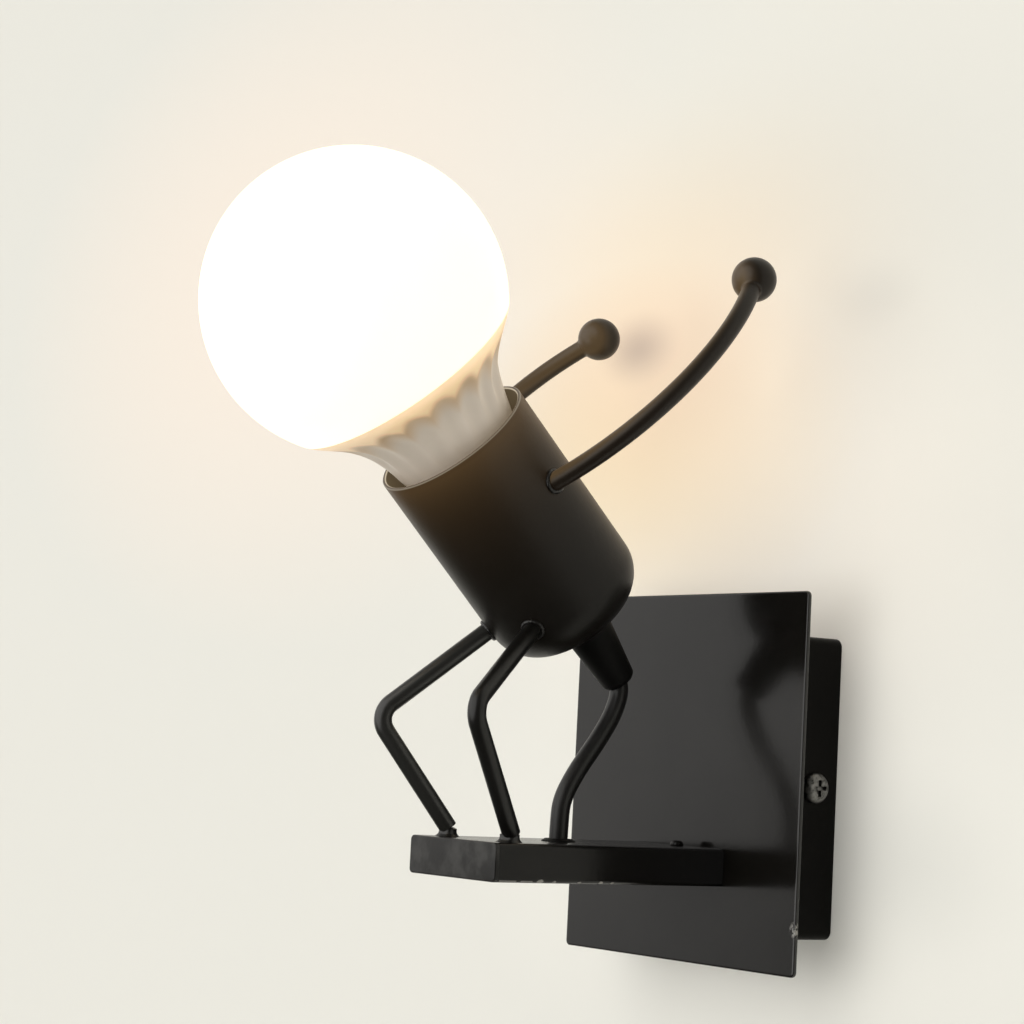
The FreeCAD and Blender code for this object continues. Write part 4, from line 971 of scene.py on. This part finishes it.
def arm_line(side, steps=72):
    """Points of the arc that an arm follows from its shoulder to its hand"""
    start = on_cup(SHOULDER_TURN[side], SHOULDER_HEIGHT)
    end = Vector((side * HAND_OUT, HAND_FRONT, HAND_HEIGHT[side]))
    along = (end - start).normalized()
    out = Vector((side, 0, 0))
    out = (out - along * out.dot(along)).normalized()
    ab, ac = (end - start) / 2 + out * ARM_BOW[side], end - start
    up = ab.cross(ac)
    middle = up.cross(ab) * ac.length_squared + ac.cross(up) * ab.length_squared
    centre = start + middle / (2 * up.length_squared)
    radius = (start - centre).length
    one = (start - centre).normalized()
    two = up.normalized().cross(one)
    last = end - centre
    whole = math.atan2(last.dot(two), last.dot(one)) % TAU
    turns = [whole * k / steps for k in range(steps + 1)]
    return [centre + (one * math.cos(a) + two * math.sin(a)) * radius for a in turns]


def mark_facing(piece):
    """Stores how squarely each of a piece's points faces the globe"""
    globe = axis_place(GLOBE_MIDDLE) * MM
    shares = []
    for spot in piece.data.vertices:
        square = spot.normal.dot((globe - spot.co).normalized())
        shares.append(min(max((square + 0.05) / 0.75, 0), 1) ** 2)
    layer = piece.data.attributes.new("facing_globe", "FLOAT", "POINT")
    layer.data.foreach_set("value", shares)


def weld_bead(name, centre, along, rod_radius, seed):
    """A rippled bead where a rod meets the cup"""
    rng = random.Random(seed)
    count, lump_count, ripples, bead, sunk = 72, 24, 18, 0.62, 0.12
    lumps = [rng.uniform(-1, 1) for _ in range(lump_count)]
    radius = rod_radius + 0.15
    one = along.orthogonal().normalized()
    two = along.cross(one)
    path, swell = [], []
    for k in range(count):
        turn = TAU * k / count
        start = centre + (one * math.cos(turn) + two * math.sin(turn)) * radius
        low, high = -4.0, 4.0
        for _ in range(30):
            middle = (low + high) / 2
            if cup_gap(start + along * middle) < 0:
                low = middle
            else:
                high = middle
        path.append(start + along * (low + sunk))
        blend, first = math.modf(k / count * lump_count)
        second = (int(first) + 1) % lump_count
        lump = lumps[int(first)] * (1 - blend) + lumps[second] * blend
        swell.append(1 + 0.10 * lump + 0.06 * math.cos(TAU * ripples * k / count))
    return rod(name, path, bead, 0, "weld_coat", 14, swell)


# Pieces


class MakeWallBox(bpy.types.Operator):
    """Makes the box, its plate, the strap inside it and their screws"""

    bl_idname = "wall_lamp.make_wall_box"
    bl_label = "Box and plate"

    def execute(self, context):
        sizes = lamp_sizes()
        depth, face = sizes.box_depth, sizes.box_depth + sizes.plate_thick
        levels = [(0.28, depth), (0.08, depth + 0.08), (0, depth + 0.3), (0, face - 0.42)]
        levels += [(0.05, face - 0.2), (0.16, face - 0.07), (0.4, face), (0.7, face)]
        outline = (sizes.plate_side, sizes.plate_side, 1.4)
        plate = pressed("plate", outline, levels, "plate_coat", sizes.plate_lift)
        seat(plate, "black_plate", "front_plate")
        levels = [(1.6, depth - 1), (1.15, depth - 1.15), (1, depth - 1.6), (1, 0.3)]
        levels += [(0.85, 0.06), (0.6, 0), (0.3, 0), (0.07, 0.1), (0, 0.35)]
        levels += [(0, depth - 0.5), (0.1, depth - 0.15), (0.45, depth)]
        outline = (sizes.box_side, sizes.box_side, 2.5)
        box = pressed("box", outline, levels, "box_coat", 0, steps=8)
        seat(box, "black_coat", "back_box")
        soften("side_screw_right", "worn_screw", "dark_screw", 0.12)
        soften("side_screw_left", "worn_screw", "dark_screw", 0.12)
        soften("wall_bracket", "zinc", "zinc", 0.2)
        soften("bracket_earth_screw", "zinc", "zinc", 0.12)
        return {"FINISHED"}


class MakeBar(bpy.types.Operator):
    """Makes the flat bar with its end cap, tongue, lock screw and grommet"""

    bl_idname = "wall_lamp.make_bar"
    bl_label = "Bar"

    def execute(self, context):
        sizes = lamp_sizes()
        back = sizes.box_depth + sizes.plate_thick
        front = back + sizes.bar_length
        outline = (sizes.bar_width, sizes.bar_height, 1.3)
        wall, cap_from, edge_angle = 1.2, front - 1.2, 50
        levels = [(wall, cap_from), (wall, back + 0.02)]
        levels += [(0.1, back + 0.02), (0, back + 0.12), (0, cap_from)]
        bar = pressed("bar", outline, levels, "bar_coat", -sizes.bar_drop, edge_angle)
        seat(bar, "black_coat", "support_bar")
        levels = [(0, cap_from), (0, front - 0.45), (0.06, front - 0.2)]
        levels += [(0.2, front - 0.05), (0.5, front)]
        place = (-sizes.bar_drop, edge_angle)
        cap = pressed("bar_front", outline, levels, "bar_end_coat", *place)
        seat(cap, "black_coat", "bar_end_cap")
        soften("bar_lock_screw", "bar_coat", "dark_screw", 0.1)
        dress("zinc", "bar_tongue")
        dress("grip_plastic", "bar_grommet")
        return {"FINISHED"}


class MakeCable(bpy.types.Operator):
    """Makes the lamp cable, its cores and the terminal block they end in"""

    bl_idname = "wall_lamp.make_cable"
    bl_label = "Cable and wiring"

    def execute(self, context):
        sizes = lamp_sizes()
        corner = axis_place(GRIP_CORNER)
        lean = math.radians(GRIP_LEAN)
        down = Vector((0, math.sin(lean), -math.cos(lean)))
        hole = -(sizes.box_depth + sizes.plate_thick + 40.4)
        route = [axis_place(10.2), corner, corner + down * 9.4, corner + down * 16.9]
        free = ((-45.0, 17.7), (-50.2, 9.6), (-56.5, 1.6), (-61, -6), (hole, -12))
        route += [Vector((0, y, z)) for y, z in (*free, (hole, -19.0))]
        line = smooth_path(route)
        cable = rod("cable", line, sizes.cable_radius, 0, "cable_sheath")
        seat(cable, "cable_black", "lamp_cable")
        dress("live_sheath", "live_wire")
        dress("neutral_sheath", "neutral_wire")
        dress("earth_sheath", "earth_wire")
        dress("brass", "terminal_clamps")
        dress("zinc", "earth_tag", "box_earth_screw", "terminal_screws")
        dress("zinc", "terminal_block_screw")
        soften("terminal_block", "block_plastic", "block_plastic", 0.3)
        return {"FINISHED"}


class MakeCup(bpy.types.Operator):
    """Makes the cup that is the figure's body, and the cord grip under it"""

    bl_idname = "wall_lamp.make_cup"
    bl_label = "Cup and cord grip"

    def execute(self, context):
        self.cup()
        self.grip()
        dress("zinc", "threaded_tube", "lock_nut")
        return {"FINISHED"}

    def cup(self):
        """A straight wall a millimetre thick, with a round bottom and a round lip"""
        sizes = lamp_sizes()
        radius, bend, mouth = sizes.cup_radius, sizes.cup_round, sizes.cup_length
        hole, wall, rows = 5.0, 1, 8
        centre, step = (radius - bend, bend), (mouth - bend - 0.4) / rows
        section = [(hole, 0), *arc(centre, bend, -90, 0, 24)]
        section += [(radius, bend + k * step) for k in range(1, rows + 1)]
        lip = ((0.05, 0.18), (0.22, 0.03), (0.45, 0), (0.78, 0.05), (0.95, 0.22))
        section += [(radius - inset, mouth - low) for inset, low in (*lip, (wall, 0.5))]
        section += [*arc(centre, bend - wall, 0, -90, 20), (hole, wall)]
        cup = turned("cup", section, "cup_coat", sides=128)
        seat(cup, "black_coat", "lamp_cup")

    def grip(self):
        """A hollow cone that leans down from under the cup and round the cable"""
        lean = Matrix.Rotation(math.radians(GRIP_LEAN), 4, "X")
        matrix = Matrix.Translation(axis_place(GRIP_CORNER)) @ lean
        low, edge, bore, tip = -16.0, -15.1, 2.95, 4.7
        slope, height = (6.8 - tip) / 19.1, 19.4
        section = [(bore, low + 4), (3.4, low + 0.25), (3.6, low), (3.85, low)]
        section += [(tip + slope * k, edge + k) for k in (0, 9, height)]
        section.append((bore, edge + height))
        section = eased(section, [0.8, 0.1, 0.05, 0.35, 0.4, 0, 0.2, 0.1])
        grip = turned("cable_grip", section, "grip_plastic", matrix, 64)
        seat(grip, "black_plastic", "cord_grip")


class MakeLimbs(bpy.types.Operator):
    """Makes the legs, arms and hands, and the welds that hold them"""

    bl_idname = "wall_lamp.make_limbs"
    bl_label = "Legs and arms"

    def execute(self, context):
        sizes = lamp_sizes()
        hips, shoulders, feet = [], [], []
        for side, word, coat in ((1, "right", "rod_coat"), (-1, "left", "left_leg_coat")):
            hip, knee, foot = leg_points(side)
            along = (knee - hip).normalized()
            points = [hip - along * 0.9, knee, foot]
            radius, bend = sizes.leg_radius, sizes.knee_bend
            leg = rod(f"{word}_leg_rod", points, radius, bend, coat)
            seat(leg, "black_coat", f"{word}_leg")
            hips.append(weld_bead("hip", hip, along, radius, 3 + side))
            feet.append(self.foot_weld(foot, side))
            line = arm_line(side)
            along = (line[1] - line[0]).normalized()
            points = [line[0] - along * 0.8, *line[1:-3]]
            arm = rod(f"{word}_arm_rod", points, sizes.arm_radius, 0, "arm_coat")
            mark_facing(arm)
            seat(arm, "black_coat", f"{word}_arm")
            bead = weld_bead("shoulder", line[0], along, sizes.arm_radius, 13 + side)
            shoulders.append(bead)
            self.hand(word, line)
        for word, welds in (("hip", hips), ("shoulder", shoulders), ("foot", feet)):
            seat(joined(f"{word}_beads", welds), "black_coat", f"{word}_welds")
        return {"FINISHED"}

    def foot_weld(self, foot, side):
        """A squashed lump of weld between the rod's end and the bar"""
        rng = random.Random(40 + side)
        waves = [(rng.uniform(0, TAU), rng.choice((2, 3, 5))) for _ in range(3)]
        lump_turn, lump_size = math.radians(236), 0.24 + 0.08 * side

        def lumpy(radius, height, turn):
            swell = sum(math.cos(n * turn + p) for p, n in waves) / 3
            lump = max(math.cos(turn - lump_turn), 0) ** 4 * lump_size
            return radius * (1 + 0.05 * swell + lump)

        matrix = Matrix.Translation((foot.x, foot.y, foot.z - FOOT_LIFT))
        section = [(0, -0.02), (3.1, -0.02), (2.95, 0.15), (2.55, 0.45), (2.3, 0.9)]
        section += [(2.2, 1.4), (2.25, 2.0), (1.4, 2.4), (0, 2.5)]
        return turned("foot", section, "weld_coat", matrix, 40, lumpy)

    def hand(self, word, line):
        """A ball with a small collar of weld where the arm goes in"""
        radius = lamp_sizes().hand_radius
        inward = (line[-4] - line[-1]).normalized()
        turn = Vector((0, 0, 1)).rotation_difference(inward).to_matrix().to_4x4()
        ball = arc((0, 0), radius, -90, 62, 40)
        collar = [(2.78, 5.36), (2.62, 5.62), (2.52, 5.9), (2.5, 6.0)]
        section = [(0, -radius), *ball[1:], *collar, (2.45, 5.2), (0, 5.2)]
        matrix = Matrix.Translation(line[-1]) @ turn
        piece = turned(f"{word}_hand", section, "arm_coat", matrix, 64)
        mark_facing(piece)
        seat(piece, "black_coat", f"{word}_hand_ball")


class MakeHolder(bpy.types.Operator):
    """Makes the lamp holder inside the cup"""

    bl_idname = "wall_lamp.make_holder"
    bl_label = "Lamp holder"

    def execute(self, context):
        section = [(4.95, 4), (17, 4), (17, 48.5), (13.95, 48.5), (13.95, 22)]
        section += [(1.6, 22), (1.6, 17), (14.5, 17), (14.5, 9), (4.95, 9)]
        radii = [0.2, 0.8, 0.6, 0.4, 0.3, 0.1, 0.1, 0.4, 0.4, 0.2]
        body = turned("holder", eased(section, radii), "holder_ceramic")
        seat(body, "holder_ceramic", "holder_body")
        dress("brass", "holder_shell", "centre_contact", "holder_terminal_screws")
        dress("live_sheath", "holder_leads")
        return {"FINISHED"}


class MakeBulb(bpy.types.Operator):
    """Makes the bulb: globe, fluted neck, screw cap and what is inside"""

    bl_idname = "wall_lamp.make_bulb"
    bl_label = "Bulb"

    def execute(self, context):
        globe = lamp_sizes().globe_radius
        self.globe(globe)
        drop = GLOBE_MIDDLE - GLOBE_RIM
        self.neck(math.sqrt(globe**2 - drop**2), GLOBE_RIM)
        self.chips()
        dress("cap_metal", "bulb_screw_cap")
        dress("cap_insulator", "bulb_cap_insulator")
        dress("solder", "bulb_tip_contact")
        dress("board_white", "bulb_light_board")
        dress("board_green", "bulb_driver_board")
        return {"FINISHED"}

    def globe(self, radius):
        """An open ball of opal plastic, a millimetre and a half thick"""
        shell = radius - 1.5
        drop, middle = GLOBE_RIM - GLOBE_MIDDLE, (0, GLOBE_MIDDLE)
        outer = arc(middle, radius, math.degrees(math.asin(drop / radius)), 90, 72)
        inner = arc(middle, shell, 90, math.degrees(math.asin(drop / shell)), 48)
        poles = [(0, GLOBE_MIDDLE + radius), (0, GLOBE_MIDDLE + shell)]
        section = [*outer[:-1], *poles, *inner[1:]]
        globe = turned("globe", section, "opal", sides=128)
        seat(globe, "opal", "bulb_diffuser", body="bulb")

    def neck(self, rim_radius, rim):
        """The flared neck, with flutes that end in arches under the globe"""
        count = lamp_sizes().flute_count
        knots = [(50, 14.2), (56, 15.75), (63.5, 17.7), (67, 18.6), (70, 19.7)]
        knots += [(74, 21.3), (78, 24.2), (82, 28.1), (84.5, 30.8), (rim, rim_radius)]
        heights = np.linspace(50, rim, 90)
        spots = np.array(knots)
        fit = np.polyfit(spots[:, 0] - 67, spots[:, 1], 6)
        base = np.polyval(fit, heights - 67)
        base += (rim_radius - base[-1]) * np.clip((heights - 80) / (rim - 80), 0, 1)
        outer = [(float(r), float(z)) for r, z in zip(base, heights)]
        wall, deepest = 1.8, 1.05
        inner = [(r - wall, z) for r, z in outer[::-3]]

        def fluted(radius, height, turn):
            if abs(radius - np.interp(height, heights, base)) > wall / 2:
                return radius
            wave = 0.5 + 0.5 * math.cos(count * (turn - FLUTE_TURN))
            top = ARCH_LOW + ARCH_RISE * wave**0.6
            grow = min(max((height - 63) / 9, 0), 1) ** 1.2
            stop = min(max((top - height) / 2.4, 0), 1)
            return radius - deepest * wave**0.7 * grow * stop * stop * (3 - 2 * stop)

        section, sides = outer + inner, count * 24
        neck = turned("bulb_neck", section, "neck", sides=sides, warp=fluted, angle=50)
        seat(neck, "bulb_white", "bulb_housing", body="bulb")

    def chips(self):
        """Light chips in two rings on the board"""
        side, thick, lift = 3 * MM, 0.7 * MM, 0.35
        chip = bmesh.new()
        bmesh.ops.create_cube(chip, size=1)
        bmesh.ops.scale(chip, vec=(side, side, thick), verts=chip.verts)
        bevel = {"offset": 0.12 * MM, "segments": 2, "affect": "EDGES"}
        bmesh.ops.bevel(chip, geom=chip.edges[:], **bevel)
        mesh = bpy.data.meshes.new("chip")
        chip.to_mesh(mesh)
        chip.free()
        recipe = ring_recipe()
        rings = []
        for count, radius in ((12, 20), (6, 10)):
            values = {"Count": count, "Ring radius": radius * MM}
            values["Material"] = finish("light_chip")
            rings.append(recipe.make("chips", mesh.copy(), values))
        lights = joined("light_chips", rings)
        turn = cup_frame().to_3x3().to_4x4()
        lights.data.transform(Matrix.Translation(axis_place(GLOBE_RIM + lift) * MM) @ turn)
        seat(lights, "chip_yellow", "bulb_light_chips", body="bulb")


# Studio


class MakeStage(bpy.types.Operator):
    """Makes the wall, the floor, the light and the camera"""

    bl_idname = "wall_lamp.make_stage"
    bl_label = "Wall, floor, light and camera"

    def execute(self, context):
        self.wall()
        self.floor()
        self.world()
        self.window()
        self.camera()
        context.scene.view_settings.view_transform = "Standard"
        return {"FINISHED"}

    def sheet(self, name, corners, material):
        mesh = bpy.data.meshes.new(name)
        mesh.from_pydata(corners, [], [list(range(4))])
        mesh.materials.append(material)
        placed(name, mesh)

    def paint(self, name, tone, glow, hollow):
        """Matt paint, lifted a little for the camera and in reflections. Hollow paint is
        clear from behind"""
        shade = colours().wall
        f = Finish(name)
        base = f.mix(f.noise(3, 2) * 0.2, shade, scaled(shade, 0.985))
        seen = f.ray("Camera").above(f.ray("Glossy")).above(f.ray("Transmission"))
        plain = f.node("BsdfDiffuse", {}, {"Color": tone(f, base)})
        lift = f.node("Emission", {}, {"Color": rgba(glow(f)), "Strength": 1.0})
        lifted = f.node("AddShader", {}, {0: plain, 1: lift})
        both = f.node("MixShader", {}, {0: seen, 1: plain, 2: lifted})
        if hollow:
            behind = f.node("NewGeometry", output="Backfacing")
            clear = f.node("BsdfTransparent")
            both = f.node("MixShader", {}, {0: behind, 1: both, 2: clear})
        f.node("OutputMaterial", {}, {"Surface": both}, None)
        return f.made

    def patch(self, f, middle, reach, falloff):
        """A soft patch on the wall: 1 in its middle, and 0 from its reach"""
        x, _, z = f.place.split()
        across = (x - middle[0] * MM) * PATCH_WIDTH
        far = (across**2 + (z - middle[1] * MM) ** 2).root()
        return (1 - far.ramp(0.0, reach * MM)) ** falloff

    def wall_tone(self, f, base):
        """The wall, warmer where the bulb lights it, with the softest shadows painted in"""
        for *patch, share in WARM_LIGHT_PATCHES:
            other = tuple(c * part for c, part in zip(colours().wall, share))
            base = f.mix(self.patch(f, *patch), base, other)
        for middle, reach, depth in SOFT_SHADOWS:
            dark = self.patch(f, middle, reach, SHADOW_FALLOFF) * depth
            base = f.mix(dark, base, SHADOW_SHADE)
        return base

    def wall_glow(self, f):
        """Light painted on the wall: a plain lift, the bulb's warm pool and its halo, and a
        wide lift round the box that evens out the lamp's own soft shadow
        """
        total = scaled(colours().wall, 0.16)
        for *patch, shade in GLOW_PATCHES:
            total = f.mix(self.patch(f, *patch), total, shade, "ADD")
        return total

    def wall(self):
        """The wall, a fifth of a millimetre behind the box's rim"""
        ends = (-2.2, -1.3), (1.6, -1.3), (1.6, 1.4), (-2.2, 1.4)
        corners = [(x, 0.0002, z) for x, z in ends]
        paint = self.paint("wall_paint", self.wall_tone, self.wall_glow, True)
        self.sheet("wall", corners, paint)

    def floor(self):
        """The floor, which is dark in reflections"""
        corners = [(-3, -3, -1.3), (3, -3, -1.3), (3, 1.5, -1.3), (-3, 1.5, -1.3)]

        def tone(f, base):
            return f.mix(f.ray("Glossy"), base, (0.03, 0.03, 0.028))

        def glow(_):
            return scaled(colours().wall, 0.1)

        self.sheet("floor", corners, self.paint("floor_paint", tone, glow, False))

    def world(self):
        """A pale room: in reflections it is bright on the left and dim elsewhere"""
        f = Finish("room", world=True)
        bpy.context.scene.world = f.made
        inputs = {0: f.node("TexCoord", output="Generated"), 1: (-0.94, -0.17, 0.30)}
        left = f.node("VectorMath", {"operation": "DOT_PRODUCT"}, inputs, "Value")
        mirrored = f.mix(left.ramp(0.72, 0.90), (0.12, 0.118, 0.11), (0.95, 0.93, 0.90))
        tone = f.mix(f.ray("Glossy"), (0.20, 0.195, 0.185), mirrored)
        tone = f.mix(f.ray("Camera"), tone, (0.836, 0.823, 0.730))
        light = f.node("Background", {}, {"Color": tone})
        f.node("OutputWorld", {}, {"Surface": light}, None)

    def window(self):
        """One very wide soft light from the front, a little from above and the left"""
        data = bpy.data.lights.new("window", "SUN")
        data.angle = math.radians(84)
        data.energy = 2.6
        data.color = (1.0, 0.985, 0.96)
        made = placed("window", data)
        made.rotation_mode = "QUATERNION"
        made.rotation_quaternion = Vector((0.10, 1.0, -0.30)).to_track_quat("-Z", "Y")

    def camera(self):
        studio = bpy.context.scene.lamp_studio
        data = bpy.data.cameras.new("camera")
        data.sensor_width = 36
        data.lens = studio.lens
        data.clip_start, data.clip_end = 0.01, 30
        turn, pitch, roll = studio.azimuth, studio.pitch, studio.roll
        right = Vector((math.cos(turn), math.sin(turn), 0))
        level = Vector((-math.sin(turn), math.cos(turn), 0))
        ahead = level * math.cos(pitch) + Vector((0, 0, math.sin(pitch)))
        up = right.cross(ahead)
        across = right * math.cos(roll) + up * math.sin(roll)
        upright = up * math.cos(roll) - right * math.sin(roll)
        axes = Matrix((across, upright, -ahead)).transposed()
        made = placed("camera", data)
        made.matrix_world = Matrix.Translation(studio.place) @ axes.to_4x4()
        bpy.context.scene.camera = made


class LampPanel(bpy.types.Panel):
    """Lists the lamp's sizes and colours, the camera and the steps that make the lamp"""

    bl_idname = "VIEW3D_PT_wall_lamp"
    bl_label = "Wall lamp"
    bl_space_type = "VIEW_3D"
    bl_region_type = "UI"
    bl_category = "Wall lamp"

    def draw(self, context):
        scene = context.scene
        for group in (scene.lamp_sizes, scene.lamp_colours, scene.lamp_studio):
            for name in group.__annotations__:
                self.layout.prop(group, name)
        for step in STEPS:
            self.layout.operator(step.bl_idname)


STEPS = (
    MakeStage,
    MakeWallBox,
    MakeBar,
    MakeCup,
    MakeCable,
    MakeLimbs,
    MakeHolder,
    MakeBulb,
)
CLASSES = (LampSizes, LampColours, StudioSettings, *STEPS, LampPanel)


def register():
    for kind in CLASSES:
        bpy.utils.register_class(kind)
    bpy.types.Scene.lamp_sizes = PointerProperty(type=LampSizes)
    bpy.types.Scene.lamp_colours = PointerProperty(type=LampColours)
    bpy.types.Scene.lamp_studio = PointerProperty(type=StudioSettings)


def unregister():
    del bpy.types.Scene.lamp_studio
    del bpy.types.Scene.lamp_colours
    del bpy.types.Scene.lamp_sizes
    for kind in reversed(CLASSES):
        bpy.utils.unregister_class(kind)


def main():
    register()
    for step in STEPS:
        family, name = step.bl_idname.split(".")
        getattr(getattr(bpy.ops, family), name)()


if __name__ == "__main__":
    main()
